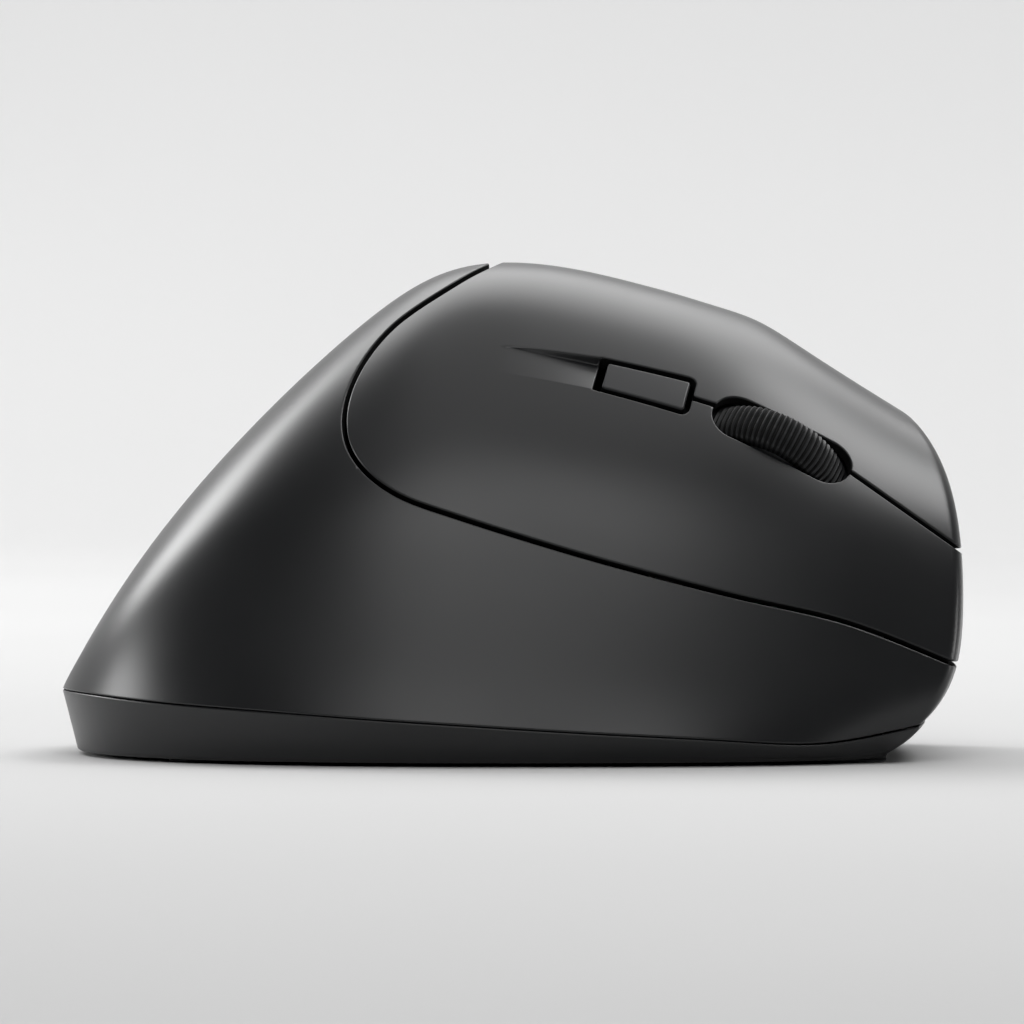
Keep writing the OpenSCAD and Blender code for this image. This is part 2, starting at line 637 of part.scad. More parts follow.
// Crown of the tyre: [share of the half width, drop]
crown = [[-1, 1.2], [-0.78, 0.5], [-0.4, 0.1], [0.4, 0.1], [0.78, 0.5], [1, 1.2]];
tyre_sides = 2 * rib_count;
function tyre_angle(i) = -360 * i / tyre_sides;
function tyre_row(c) = [for (i = [0 : tyre_sides - 1]) let (r = wheel_r - c.y - (i % 2) * rib_depth)
    [r * cos(tyre_angle(i)), r * sin(tyre_angle(i)), c.x * wheel_w / 2]];
function bore_row(share) = [for (i = [0 : tyre_sides - 1])
    [(hub_r + fit) * cos(tyre_angle(i)), (hub_r + fit) * sin(tyre_angle(i)), share * wheel_w / 2]];
module wheel_tyre() color("#303134") at_frame(wheel_frame) translate([0, 0, axle_z]) rotate([90, 0, 0])
    lofted(concat([for (c = crown) tyre_row(c)], [bore_row(1), bore_row(-1)]), ring = true);
module wheel_hub() color("#4a4b4e") difference() {
    across(0, around(0, wheel_w / 2 - hub_inset), hub_r);
    across(0, around(0, wheel_w), axle_r + fit / 2);
}
module wheel_axle() color("silver") across(0, axle_ends, axle_r);
module axle_bore() across(0, around(0, body_w / 2), axle_r + fit);
module pin_bore(gap) across(pin_x, around(0, body_w / 2), pin_d / 2 + gap);
module wheel_cradle() color("#3a3b3e") difference() {
    at_frame(wheel_frame) {
        both_sides() slab([-bar_end, bar_end], [arm_y, arm_y + arm_t], arm_z);
        slab([-bar_end, -bar_x], around(0, arm_y + lap), arm_z);
        slab([bar_x, bar_end], around(0, arm_y + lap), [tact_top + stem_air, arm_z[1]]);
    }
    axle_bore();
    pin_bore(fit);
    // Room for the switch under the front of the cradle
    at_frame(wheel_frame) slab([bar_x - 1, far], [-far, far], [-far, tact_top + stem_air]);
}
module cradle_pin() color("silver") across(pin_x, around(0, pin_l / 2), pin_d / 2);
module wheel_encoder() color("#4f5054") difference() {
    at_frame(wheel_frame) translate([-encoder_size.x / 2, arm_y + arm_t, axle_z - encoder_size.z / 2])
        cube(encoder_size);
    axle_bore();
}
module at_ears() for (side = [-1, 1]) translate([pin_x, side * (ear_y + ear_t / 2), 0]) children();

// Button board, its switches and the chassis that carries it
module at_standoffs() at_frame(wheel_frame) for (p = standoffs) translate([p.x, p.y, 0]) children();
module at_main_holes() for (x = [main_x[0] + main_inset, main_x[1] - main_inset],
    y = [main_y[0] + main_inset, main_y[1] - main_inset]) translate([x, y, 0]) children();
module small_bore(gap) cylinder(d = small_screw[0] + gap, h = far);
module button_board() color("darkgreen") difference() {
    at_frame(wheel_frame) difference() {
        slab(board_x, board_y, [board_z - board_t, board_z]);
        slab(around(0, wheel_r + board_room), around(0, arm_y + board_room), [-far, far]);
        at_ears() cube([ear_l + ear_room.x, ear_t + ear_room.y, far], center = true);
    }
    at_standoffs() translate([0, 0, -far / 2]) small_bore(small_hole);
}
// Turns its children to the slope of the thumb buttons
module thumb_tilt() translate([thumb_mid.x, 0, thumb_mid.y]) rotate([0, thumb_lean, 0]) children();
module chassis() color("#2e3134") difference() {
    union() {
        at_frame(wheel_frame) {
            slab(plate_x, plate_y, [plate_z - plate_t, plate_z]);
            at_ears() translate([-ear_l / 2, -ear_t / 2, plate_z - root])
                cube([ear_l, ear_t, axle_z + ear_rise - plate_z + root]);
        }
        at_standoffs() translate([0, 0, plate_z - root]) cylinder(d = standoff_d, h = standoff_h + root);
        for (p = legs) translate([p.x, p.y, pad_top]) cylinder(d = leg_d, h = p.z - pad_top);
        thumb_tilt() {
            slab(bracket_x, bracket_y, bracket_z);
            for (side = [-1, 1]) translate([side * bracket_post[0], bracket_y[1] - root, 0])
                rotate([-90, 0, 0]) cylinder(d = bracket_post[1], h = thumb_board_y - bracket_y[1] + root);
        }
    }
    at_frame(wheel_frame) slab(around(0, plate_cut.x), around(0, arm_y + board_room),
        [axle_z - wheel_r, plate_z + plate_cut.y]);
    pin_bore(fit / 2);
    screw_bores(legs);
    at_standoffs() translate([0, 0, plate_z - bore_end]) small_bore(2 * fit);
}
module at_micro(side, x) at_frame(wheel_frame) translate([x, side * micro_y, board_z]) children();
module micro_switch(side) difference() {
    at_micro(side, micro_x) middle_slab(micro_size, [0, micro_size.z]);
    at_micro(side, plunger_x)
        middle_slab(plunger_size + 2 * [fit, fit], [micro_size.z - micro_well, micro_size.z + micro_well]);
}
module micro_plunger(side) at_micro(side, plunger_x)
    middle_slab(plunger_size, [micro_size.z - plunger_foot, micro_size.z + plunger_rise]);
module index_switch() color("#202124") micro_switch(1);
module middle_switch() color("#202124") micro_switch(-1);
module index_plunger() color("white") micro_plunger(1);
module middle_plunger() color("white") micro_plunger(-1);
module tact() difference() {
    middle_slab(tact_size, [0, tact_size.z]);
    translate([0, 0, tact_size.z - tact_well]) cylinder(d = tact_plunger_d + 2 * fit, h = 2 * tact_well);
}
module tact_plunger() translate([0, 0, tact_size.z - tact_foot])
    cylinder(d = tact_plunger_d, h = tact_foot + tact_rise);
module on_board(p) at_frame(wheel_frame) translate([p.x, p.y, board_z]) children();
module dpi_switch() color("#55585c") on_board(dpi_tact) tact();
module dpi_plunger() color("white") on_board(dpi_tact) tact_plunger();
module wheel_switch() color("#55585c") on_board(wheel_tact) tact();
module wheel_plunger() color("white") on_board(wheel_tact) tact_plunger();
module thumb_board() color("darkgreen") thumb_tilt()
    slab(around(0, thumb_board_size.x / 2), [thumb_board_y, thumb_tact_y], around(0, thumb_board_size.y / 2));
module thumb_switches() color("#55585c") for (side = [-1, 1]) thumb_axis(side, thumb_tact_y) tact();
module forward_plunger() color("white") thumb_axis(1, thumb_tact_y) tact_plunger();
module back_plunger() color("white") thumb_axis(-1, thumb_tact_y) tact_plunger();

// Base and what it carries
module receiver_room() translate([receiver_at.x, receiver_at.y, 0]) {
    middle_slab(cap_size + 2 * [pocket_gap, pocket_gap, 0], [-far, receiver_z + cap_size.z + pocket_end]);
    middle_slab(plug_size + 2 * [pocket_gap, pocket_gap, 0],
        [-far, receiver_z + cap_size.z + plug_size.z + pocket_end]);
}
module foot_outline(grow) {
    straight = foot_size.x - foot_size.y;
    square([straight, foot_size.y + 2 * grow], center = true);
    for (end = [-1, 1]) translate([end * straight / 2, 0]) circle(d = foot_size.y + 2 * grow);
}
module feet(at, grow, z) for (side = [-1, 1]) translate([at.x, side * at.y, z[0]])
    linear_extrude(z[1] - z[0]) foot_outline(grow);
module base_case() color("#17181a") difference() {
    union() {
        lofted(base_rings);
        // Walls of the battery bay
        slab(bay_x + [-bay_wall, bay_wall], bay_y + [-bay_wall, bay_wall], [floor_z - root, bay_top]);
        // Sleeve that the receiver is stowed in
        translate([receiver_at.x, receiver_at.y, 0]) middle_slab(cap_size + 2 * [sleeve_wall, sleeve_wall, 0],
            [floor_z - root, receiver_z + cap_size.z + plug_size.z + sleeve_wall]);
        for (p = pads) translate([p.x, p.y, floor_z - root])
            cylinder(d = pad_d, h = pad_top - fit - floor_z + root);
        at_main_holes() translate([0, 0, floor_z - root]) cylinder(d = post_d, h = main_z - floor_z + root);
    }
    slab(bay_x, bay_y, [floor_z, far]);
    slab(bay_mouth, bay_y, [-far, far]);
    receiver_room();
    for (p = pads) translate([p.x, p.y, 0]) {
        cylinder(d = screw_d + screw_room[0] / 2, h = far);
        translate([0, 0, -far])
            cylinder(d = screw_head[0] + screw_room[0], h = far + screw_z + screw_head[1] + screw_room[1]);
    }
    translate([sensor_at.x, sensor_at.y, 0]) middle_slab(sensor_window, [-far, main_z]);
    translate([power_at.x + power_travel / 2, power_at.y, 0])
        middle_slab(knob + [power_travel, 0] + 2 * [knob_gap, knob_gap], [-far, main_z]);
    at_main_holes() translate([0, 0, floor_z]) small_bore(2 * fit);
    for (at = [front_foot, rear_foot]) feet(at, foot_gap, [-far, foot_t]);
}
module receiver_cap() color("#1d1e20") translate([receiver_at.x, receiver_at.y, receiver_z])
    middle_slab(cap_size, [0, cap_size.z]);
module receiver_plug() color("silver") translate([receiver_at.x, receiver_at.y, receiver_z + cap_size.z])
    difference() {
        middle_slab(plug_size, [0, plug_size.z]);
        slab(around(0, plug_size.x / 2 - plug_wall), [plug_wall - plug_size.y / 2, 0], [plug_floor, far]);
    }
module front_feet() color("#2c2d30") feet(front_foot, 0, [0, foot_t]);
module rear_feet() color("#2c2d30") feet(rear_foot, 0, [0, foot_t]);
module main_board() color("darkgreen") difference() {
    slab(main_x, main_y, [main_z, main_top]);
    translate([legs[3].x, legs[3].y, 0]) cylinder(d = leg_d + leg_room, h = far);
    translate([sensor_at.x, sensor_at.y, 0]) middle_slab(sensor_eye, [0, far]);
    at_main_holes() small_bore(small_hole);
}
module sensor_chip() color("#15161a") translate([sensor_at.x, sensor_at.y, main_top])
    middle_slab(sensor_size, [0, sensor_size.z]);
module sensor_lens() color("#b9c4cc") translate([sensor_at.x, sensor_at.y, 0])
    middle_slab(lens_size, [floor_z + lens_gap[0], main_z - lens_gap[1]]);
module controller_chip() color("#15161a") translate([chip_at.x, chip_at.y, main_top])
    middle_slab(chip_size, [0, chip_size.z]);
module ribbon_cable() color("#d8d4c8") slab(ribbon_x, ribbon_y, ribbon_z);
module power_switch() color("#55585c") translate([power_at.x + power_travel / 2, power_at.y, 0])
    middle_slab(power_size, [main_z - power_size.z, main_z]);
module power_slider() color("#6a6c70") translate([power_at.x, power_at.y, 0]) {
    middle_slab(knob, knob_z);
    middle_slab(knob + 2 * knob_lip, lip_z);
}
module battery() color("#77797d") translate([bay_x[0] + spring_air + spring_l, bay_mid, battery_z])
    rotate([0, 90, 0]) {
        cylinder(r = battery_r, h = battery_l - nub[1]);
        cylinder(d = nub[0], h = battery_l);
    }
// Cone of wire that presses on the battery's flat end
spring_rise = spring_l + spring_lap - spring_wire;
function spring_turn(turn) =
    let (r = spring_r[0] + (spring_r[1] - spring_r[0]) * turn / spring_turns, a = 360 * turn)
    [for (k = [0 : spring_sides - 1])
        let (b = 360 * k / spring_sides, w = spring_wire / 2 * [cos(b), sin(b)])
        [(r + w.x) * cos(a), (r + w.x) * sin(a), spring_rise * turn / spring_turns + w.y]];
module battery_spring() color("silver")
    translate([bay_x[0] + spring_lap + spring_wire / 2, bay_mid, battery_z]) rotate([0, 90, 0])
    lofted([for (i = [0 : spring_turns * spring_steps]) spring_turn(i / spring_steps)]);
module battery_plate() color("silver") translate([bay_x[1] - contact_back, bay_mid, battery_z])
    slab([0, contact_t], contact_y, contact_z);
door_x = bay_mouth + [door_gap, -door_gap];
module battery_door() color("#1c1d1f") {
    slab(door_x, bay_y + [door_gap, -door_gap], [base_lift, base_lift + door_t]);
    // Hooks that lie over the base's floor at the front edge
    for (side = [-1, 1]) translate([door_x[1], bay_mid + side * hook_y, 0])
        slab([-hook_size.x, 0], around(0, hook_size.y / 2), [base_lift + door_t - lap, hook_top]);
}
// Screw with its head's outer face at z = 0, pointing up
module screw(head, d, l) {
    cylinder(d = head[0], h = head[1]);
    cylinder(d = d, h = l);
}
module long_screws(list) for (p = list) translate([p.x, p.y, screw_z])
    screw(screw_head, screw_d, screw_head[1] + screw_l);
module case_screws() color("dimgray") long_screws(concat(case_bosses, [thumb_boss]));
module chassis_screws() color("dimgray") long_screws(legs);
module board_screw(top, l) translate([0, 0, top + small_screw[2]]) mirror([0, 0, 1])
    screw([small_screw[1], small_screw[2]], small_screw[0], small_screw[2] + l);
module board_screws() color("dimgray") {
    at_standoffs() board_screw(board_z, small_grip[0]);
    at_main_holes() board_screw(main_top, small_grip[1]);
}

palm_shell();
finger_panel();
index_button();
middle_button();
thumb_panel();
forward_button();
back_button();
dpi_button();
wheel_tyre();
wheel_hub();
wheel_axle();
wheel_cradle();
cradle_pin();
wheel_encoder();
chassis();
button_board();
index_switch();
index_plunger();
middle_switch();
middle_plunger();
dpi_switch();
dpi_plunger();
wheel_switch();
wheel_plunger();
thumb_board();
thumb_switches();
forward_plunger();
back_plunger();
base_case();
front_feet();
rear_feet();
main_board();
sensor_chip();
sensor_lens();
controller_chip();
ribbon_cable();
power_switch();
power_slider();
battery();
battery_spring();
battery_plate();
battery_door();
receiver_cap();
receiver_plug();
case_screws();
chassis_screws();
board_screws();
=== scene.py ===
# %% [markdown]
# # A vertical mouse, dressed around its frame
# The frame holds every moving part of the mouse at its real size and place. This lesson gives those parts
# their looks: smooth moulded skins with rounded seams, a ribbed rubber wheel, a base with its feet, and a
# plain studio. Nothing that the frame fixes is moved.

# %% Load the frame
import json
import math

import bpy
import numpy as np
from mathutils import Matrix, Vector
from mathutils.geometry import delaunay_2d_cdt

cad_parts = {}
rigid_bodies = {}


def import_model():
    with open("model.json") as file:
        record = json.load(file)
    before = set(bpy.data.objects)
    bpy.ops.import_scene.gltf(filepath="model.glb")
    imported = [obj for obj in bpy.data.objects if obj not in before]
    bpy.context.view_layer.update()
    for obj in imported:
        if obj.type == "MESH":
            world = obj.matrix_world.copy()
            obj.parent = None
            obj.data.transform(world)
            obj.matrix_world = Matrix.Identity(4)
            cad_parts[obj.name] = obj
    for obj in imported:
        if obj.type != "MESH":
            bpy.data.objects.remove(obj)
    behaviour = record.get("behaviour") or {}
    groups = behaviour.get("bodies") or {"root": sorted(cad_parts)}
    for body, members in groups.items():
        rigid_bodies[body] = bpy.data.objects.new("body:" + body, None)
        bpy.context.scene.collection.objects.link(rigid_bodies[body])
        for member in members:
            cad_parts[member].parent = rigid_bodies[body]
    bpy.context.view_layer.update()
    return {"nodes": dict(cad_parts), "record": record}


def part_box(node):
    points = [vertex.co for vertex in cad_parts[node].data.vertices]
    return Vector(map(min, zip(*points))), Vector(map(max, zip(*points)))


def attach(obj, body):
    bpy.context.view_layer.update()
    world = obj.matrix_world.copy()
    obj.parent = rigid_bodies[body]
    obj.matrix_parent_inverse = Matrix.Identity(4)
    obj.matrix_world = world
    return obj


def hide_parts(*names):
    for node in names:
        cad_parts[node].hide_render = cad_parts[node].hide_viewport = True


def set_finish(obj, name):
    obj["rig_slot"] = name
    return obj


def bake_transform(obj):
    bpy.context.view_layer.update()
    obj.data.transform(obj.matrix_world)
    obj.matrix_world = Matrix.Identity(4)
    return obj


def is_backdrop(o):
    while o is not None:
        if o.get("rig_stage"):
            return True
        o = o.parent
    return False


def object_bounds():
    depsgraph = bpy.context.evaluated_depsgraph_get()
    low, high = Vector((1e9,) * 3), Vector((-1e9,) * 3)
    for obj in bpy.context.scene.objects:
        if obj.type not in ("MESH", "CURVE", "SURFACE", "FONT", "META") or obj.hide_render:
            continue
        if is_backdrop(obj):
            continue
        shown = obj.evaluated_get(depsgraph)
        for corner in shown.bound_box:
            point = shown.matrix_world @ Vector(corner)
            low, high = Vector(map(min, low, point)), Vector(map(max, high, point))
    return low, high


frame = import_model()
nodes = frame["nodes"]
MM = 0.001

# %% [markdown]
# ## The camera
# The photograph is a plain side view from far away with a long lens, a degree or two above the desk. A long
# lens keeps the tail and the nose at the same scale, so the camera stands well back and looks square at the
# side of the mouse.

# %% Camera
CAMERA_AWAY = 1.2
CAMERA_RISE = math.radians(1.5)
CAMERA_AIM = Vector((0.0, 0.0, 0.03245))
PIXELS_PER_MM = 7.42
FRAME_PIXELS = 1024

camera_data = bpy.data.cameras.new("side_camera")
camera_data.lens = PIXELS_PER_MM / MM * CAMERA_AWAY / FRAME_PIXELS * camera_data.sensor_width
camera = bpy.data.objects.new("side_camera", camera_data)
bpy.context.scene.collection.objects.link(camera)
camera_back = Vector((0.0, -math.cos(CAMERA_RISE), math.sin(CAMERA_RISE)))
camera.location = CAMERA_AIM + camera_back * CAMERA_AWAY
camera.rotation_euler = (-camera_back).to_track_quat("-Z", "Y").to_euler()
bpy.context.scene.camera = camera
print("lens in mm:", round(camera_data.lens, 1))

# %% [markdown]
# ## The lines plan of the body
# The body is one flowing form without a flat on it. A boat builder draws such a form as long rails that pass
# a row of stations, and so does this lesson: each rail gives (y, z) at the stations, from the right lower
# edge over the ridge to the left lower edge. A subdivision cage could give a similar form, but only the
# rails give exactly the surface that the frame's own parts have.

# %% Rails
TAIL = (-60.5, 0.0, 8.8)
STATIONS = (-57.2, -48, -34, -19, -6, 10, 28, 45, 60.5)
RIGHT_EDGE = ((-14.5, 8.8), (-26, 8.2), (-34, 7.4), (-37.8, 6.4), (-38.9, 5.6),
              (-38.7, 4.6), (-36.8, 3.6), (-32.5, 3), (-26.5, 5))
RIGHT_FLARE = ((-13.4, 10.4), (-24.4, 12.8), (-31.5, 13.8), (-35.4, 12.6), (-36.6, 11.6),
               (-36.4, 10.5), (-34.5, 9.2), (-31, 8.8), (-25.5, 11))
RIGHT_FLANK = ((-11.4, 12.6), (-21.5, 19), (-27.6, 23.8), (-31, 25), (-32, 24.8),
               (-32, 23.6), (-30.8, 21.2), (-27.7, 18.9), (-23, 18))
RIGHT_SIDE = ((-8.5, 14.6), (-17, 25.2), (-22.3, 34.8), (-24.6, 40.2), (-25, 42.6),
              (-24.8, 42.2), (-24, 39), (-22, 34.2), (-18, 29.6))
RIGHT_SHOULDER = ((-4.5, 14.7), (-8.5, 28.4), (-11, 43.8), (-10.2, 55.4), (-8, 61.6),
                  (-6.5, 60.8), (-7, 56.4), (-6.6, 50.4), (-6.5, 41.5))
RIDGE = ((0, 15.1), (1, 29.2), (3, 45.8), (6.5, 60.2), (9.5, 67.4),
         (11, 66.8), (10.5, 62.3), (9, 58.2), (6, 47))
LEFT_SHOULDER = ((4.5, 14.7), (10, 28.1), (14, 42.8), (18.5, 56), (22, 62.2),
                 (24, 61.4), (23, 57.1), (21, 53), (16, 42.5))
THUMB_HOLLOW = ((8.5, 14.4), (17.5, 24), (21, 30.6), (21, 35), (20, 37),
                (19.5, 36.8), (19.5, 34.8), (20, 31.8), (18.5, 28))
THUMB_SHELF = ((12, 11.7), (22.5, 14.8), (27, 16.4), (27, 16), (27, 15.2),
               (28, 14.2), (28.5, 13.4), (25.5, 13), (21, 14.5))
LEFT_EDGE = ((14.5, 8.8), (25, 8.2), (31, 7.4), (34.5, 6.4), (37, 5.6),
             (38.6, 4.8), (38.4, 3.9), (33.5, 3.8), (23, 5.4))
RAILS = (RIGHT_EDGE, RIGHT_FLARE, RIGHT_FLANK, RIGHT_SIDE, RIGHT_SHOULDER,
         RIDGE, LEFT_SHOULDER, THUMB_HOLLOW, THUMB_SHELF, LEFT_EDGE)
LAST_STATION = len(STATIONS)
LAST_RAIL = len(RAILS) - 1
print("rails:", len(RAILS), "stations:", len(STATIONS))

# %% [markdown]
# Cubic splines run along the rails and then across them. The rails are met exactly, because the points along
# a rail are points of the outline; across, the spline only leans towards the rails, which keeps the section
# round. Control points for an exact spline are found by pushing them until the curve passes the points.

# %% Splines along and across
FIT_ROUNDS = 24


def spline_weights(f):
    return np.stack([(1 - f) ** 3, 3 * f**3 - 6 * f**2 + 4, -3 * f**3 + 3 * f**2 + 3 * f + 1, f**3]) / 6


def with_ends(c):
    before = np.array([c[1, 0], 2 * c[0, 1] - c[1, 1], c[1, 2]])
    return np.vstack([before, c, 2 * c[-1] - c[-2]])


def passing(points):
    c = points.copy()
    for _ in range(FIT_ROUNDS):
        e = with_ends(c)
        c = c + points - (e[:-2] + 4 * e[1:-1] + e[2:]) / 6
    return with_ends(c)


rail_points = [np.array([TAIL] + [(x, y, z) for x, (y, z) in zip(STATIONS, rail)], float) for rail in RAILS]
net = np.stack([passing(points) for points in rail_points])
print("control net:", net.shape)

# %% [markdown]
# The nose is bowed like a ship's: sections lean back towards the top and the bottom, the more the nearer the
# nose. The same bow gives the front face, so that flank and face meet in one clean crease.

# %% Flank and nose
BOW_START = 20
BOW_LOW = 21.4
BOW_MIDDLE = -2
BOW_ACROSS, BOW_RISE, BOW_TOP, BOW_FOOT = 0.0027, 0.00598, 9.4e-6, 5e-5
NOSE_X = STATIONS[-1]
NOSE_MID = np.array([-2.0, 21.0])


def bow(y, z):
    d = z - BOW_LOW
    return BOW_ACROSS * (y - BOW_MIDDLE) ** 2 + BOW_RISE * d**2 + np.where(d > 0, BOW_TOP, BOW_FOOT) * d**4


def flank(s, t):
    """Points of the skin: s counts stations from the tail, t counts rails from the right edge."""
    i = np.clip(np.floor(s).astype(int), 0, LAST_STATION - 1)
    along = spline_weights(s - i)
    q = sum(along[k][:, None, None] * net[:, i + k].transpose(1, 0, 2) for k in range(4))
    q = np.concatenate([2 * q[:, :1] - q[:, 1:2], q, 2 * q[:, -1:] - q[:, -2:-1]], axis=1)
    j = np.clip(np.floor(t).astype(int), 0, LAST_RAIL - 1)
    across = spline_weights(t - j)
    rows = np.arange(len(s))
    p = sum(across[k][:, None] * q[rows, j + k] for k in range(4))
    f = np.maximum(0, (p[:, 0] - BOW_START) / (NOSE_X - BOW_START))
    p[:, 0] -= bow(p[:, 1], p[:, 2]) * f**2
    return p


def crease(t):
    """(y, z) of the nose's outline. From t = -1 to 0 it runs along the straight edge below the nose."""
    ends = flank(np.full(2, float(LAST_STATION)), np.array([0.0, LAST_RAIL]))
    below = ends[1] + (ends[0] - ends[1]) * (t + 1)[:, None]
    over = flank(np.full(len(t), float(LAST_STATION)), np.clip(t, 0, LAST_RAIL))
    return np.where((t < 0)[:, None], below, over)[:, 1:]


def nose(f, t):
    yz = NOSE_MID + (crease(t) - NOSE_MID) * (1 - f)[:, None]
    return np.column_stack([NOSE_X - bow(yz[:, 0], yz[:, 1]), yz])


def sharp_body(u, t):
    p = nose(np.clip(u - LAST_STATION, 0, 1), t)
    side = u < LAST_STATION
    p[side] = flank(u[side], t[side])
    return p


probe = sharp_body(np.linspace(0, 9, 200), np.full(200, 5.0))
print("ridge height in mm:", round(probe[:, 2].max(), 2))

# %% [markdown]
# ## A rounded nose crease
# No moulded edge is sharp: the crease round the nose catches a thin line of light. A bevel would have to be
# redone on every piece that crosses the crease, so the surface itself is rounded: within a short reach of
# the crease each line from flank to face follows a parabola between the two.

# %% Body with its crease rounded
NOSE_ROUND = 1.5
STEP = 0.05
CREASE_NEAR, END_FADE = 0.25, 0.4
U_LOW, U_HIGH = 0.03, 9.96


def smooth_step(f):
    f = np.clip(f, 0, 1)
    return f * f * (3 - 2 * f)


def body(u, t):
    p = sharp_body(u, t)
    near = np.flatnonzero((np.abs(u - LAST_STATION) < CREASE_NEAR) & (t > 0) & (t < LAST_RAIL))
    if len(near) == 0:
        return p
    tn = t[near]
    edge = np.full(len(near), float(LAST_STATION))
    corner = sharp_body(edge, tn)
    back_speed = np.linalg.norm(corner - sharp_body(edge - STEP, tn), axis=1) / STEP
    face_speed = np.linalg.norm(sharp_body(edge + STEP, tn) - corner, axis=1) / STEP
    reach = NOSE_ROUND * smooth_step(tn / END_FADE) * smooth_step((LAST_RAIL - tn) / END_FADE)
    off = u[near] - LAST_STATION
    away = off * np.where(off < 0, back_speed, face_speed)
    inside = np.abs(away) < reach - 1e-6
    if not inside.any():
        return p
    reach, away, tn, corner = reach[inside], away[inside], tn[inside], corner[inside]
    from_flank = sharp_body(LAST_STATION - reach / back_speed[inside], tn)
    to_face = sharp_body(LAST_STATION + reach / face_speed[inside], tn)
    f = ((away + reach) / (2 * reach))[:, None]
    p[near[inside]] = (1 - f) ** 2 * from_flank + 2 * f * (1 - f) * corner + f**2 * to_face
    return p


def slopes(surface, u, t, du=0.004, dt=0.004):
    along = (surface(u + du, t) - surface(u - du, t)) / (2 * du)
    across = (surface(u, t + dt) - surface(u, t - dt)) / (2 * dt)
    return along, across


def unit(v):
    return v / np.maximum(np.linalg.norm(v, axis=-1, keepdims=True), 1e-12)


def normal_of(surface, low=U_LOW, high=U_HIGH):
    """The way out of a surface. Its slopes are taken between low and high, clear of the poles."""
    def normal(u, t):
        along, across = slopes(surface, np.clip(u, low, high), t)
        return unit(np.cross(along, across))
    return normal


body_normal = normal_of(body)
print("crease rounded over mm:", NOSE_ROUND)

# %% [markdown]
# ## Places on the skin
# The wheel and the small key sit square to the skin. Their places follow from the line between the two main
# keys, seen from the side, as in the frame: the skin point, forward along the line, up the slope, and out.

# %% Wheel and small key places
SPLIT_LINE = np.array([(10, 51.6), (24.2, 48), (27.1, 47.1), (44.6, 38.5), (59.2, 28.2), (64, 24.8)])
WHEEL_X = 36
SPEED_KEY_X = 18
FRAME_REACH = 3
FIND_START, FIND_ROUNDS = (6.5, 3.3), 12
PLACE_STEP = 0.02


def split_height(x):
    return np.interp(x, SPLIT_LINE[:, 0], SPLIT_LINE[:, 1])


def find(targets, origin, axes):
    """(s, t) of the skin points that show at the targets, seen along the third axis from that origin."""
    at = np.tile(np.array(FIND_START), (len(targets), 1))
    for _ in range(FIND_ROUNDS):
        along, across = slopes(flank, at[:, 0], at[:, 1])
        turn = np.stack([along @ axes[:2].T, across @ axes[:2].T], axis=2)
        miss = targets - (flank(at[:, 0], at[:, 1]) - origin) @ axes[:2].T
        at = at + np.linalg.solve(turn, miss[:, :, None])[:, :, 0]
    return at


SIDE_VIEW = np.array([(1.0, 0, 0), (0, 0, 1.0), (0, -1.0, 0)])


def skin_place(x):
    """Point of the skin on the split line, and its axes: forward, up the slope and out."""
    shown = np.array([(v, split_height(v)) for v in (x - FRAME_REACH, x, x + FRAME_REACH)])
    s, t = find(shown, np.zeros(3), SIDE_VIEW).T
    behind, point, ahead = flank(s, t)
    along, across = slopes(flank, s, t, PLACE_STEP, PLACE_STEP)
    out = unit(np.cross(along, across))[1]
    forward = unit(ahead - behind - out * ((ahead - behind) @ out))
    return point, np.stack([forward, np.cross(out, forward), out])


wheel_point, wheel_axes = skin_place(WHEEL_X)
speed_point, speed_axes = skin_place(SPEED_KEY_X)


def local(p, point, axes):
    return (p - point) @ axes.T


print("wheel stands at", wheel_point.round(2), "and the small key at", speed_point.round(2))

# %% [markdown]
# ## Seams as distances
# A seam is drawn once, as a line seen from the side or from above. Every piece of skin is then a set of
# signed distances: positive on the piece, zero on its edge. Distances can be joined with min and max, they
# tell how far a point is from its edge, and so they also give the rounding of that edge.

# %% Signed distances
FAR = 300.0


def smooth_line(points, steps=8):
    p = np.array(points, float)
    last = len(p) - 1
    line = []
    for i in range(last):
        a, b, c, d = p[max(i - 1, 0)], p[i], p[i + 1], p[min(i + 2, last)]
        for k in range(steps):
            f = k / steps
            line.append(0.5 * (2 * b + (c - a) * f + (2 * a - 5 * b + 4 * c - d) * f**2
                               + (3 * b - a - 3 * c + d) * f**3))
    return np.array(line + [p[last]])


def inside_of(points, outline):
    """Signed distance to a closed outline in the plane, positive inside."""
    best = np.full(len(points), np.inf)
    odd = np.zeros(len(points), bool)
    x, y = points[:, 0], points[:, 1]
    for (ax, ay), (bx, by) in zip(outline, np.roll(outline, -1, axis=0)):
        ex, ey = bx - ax, by - ay
        f = np.clip(((x - ax) * ex + (y - ay) * ey) / max(ex * ex + ey * ey, 1e-12), 0, 1)
        best = np.minimum(best, (x - ax - f * ex) ** 2 + (y - ay - f * ey) ** 2)
        crosses = (ay > y) != (by > y)
        if crosses.any():
            odd ^= crosses & (x < ax + (y - ay) * ex / (ey if ey else 1e-12))
    return np.where(odd, 1, -1) * np.sqrt(best)


def rounded_box(q, half, r):
    """Signed distance to a rounded rectangle in the plane, positive inside."""
    d = np.abs(q[:, :2]) - (np.array(half) - r)
    outside = np.hypot(np.maximum(d[:, 0], 0), np.maximum(d[:, 1], 0))
    return r - outside - np.minimum(np.maximum(d[:, 0], d[:, 1]), 0)


print("far points lie", FAR, "mm away")

# %% [markdown]
# The finger panel is one moulding on the real mouse: a long seam runs from the nose back over the flank,
# turns up round the palm and ends at the ridge. On the thumb side the seam follows the ridge, drawn from
# above. A slit splits its front into the two main keys.

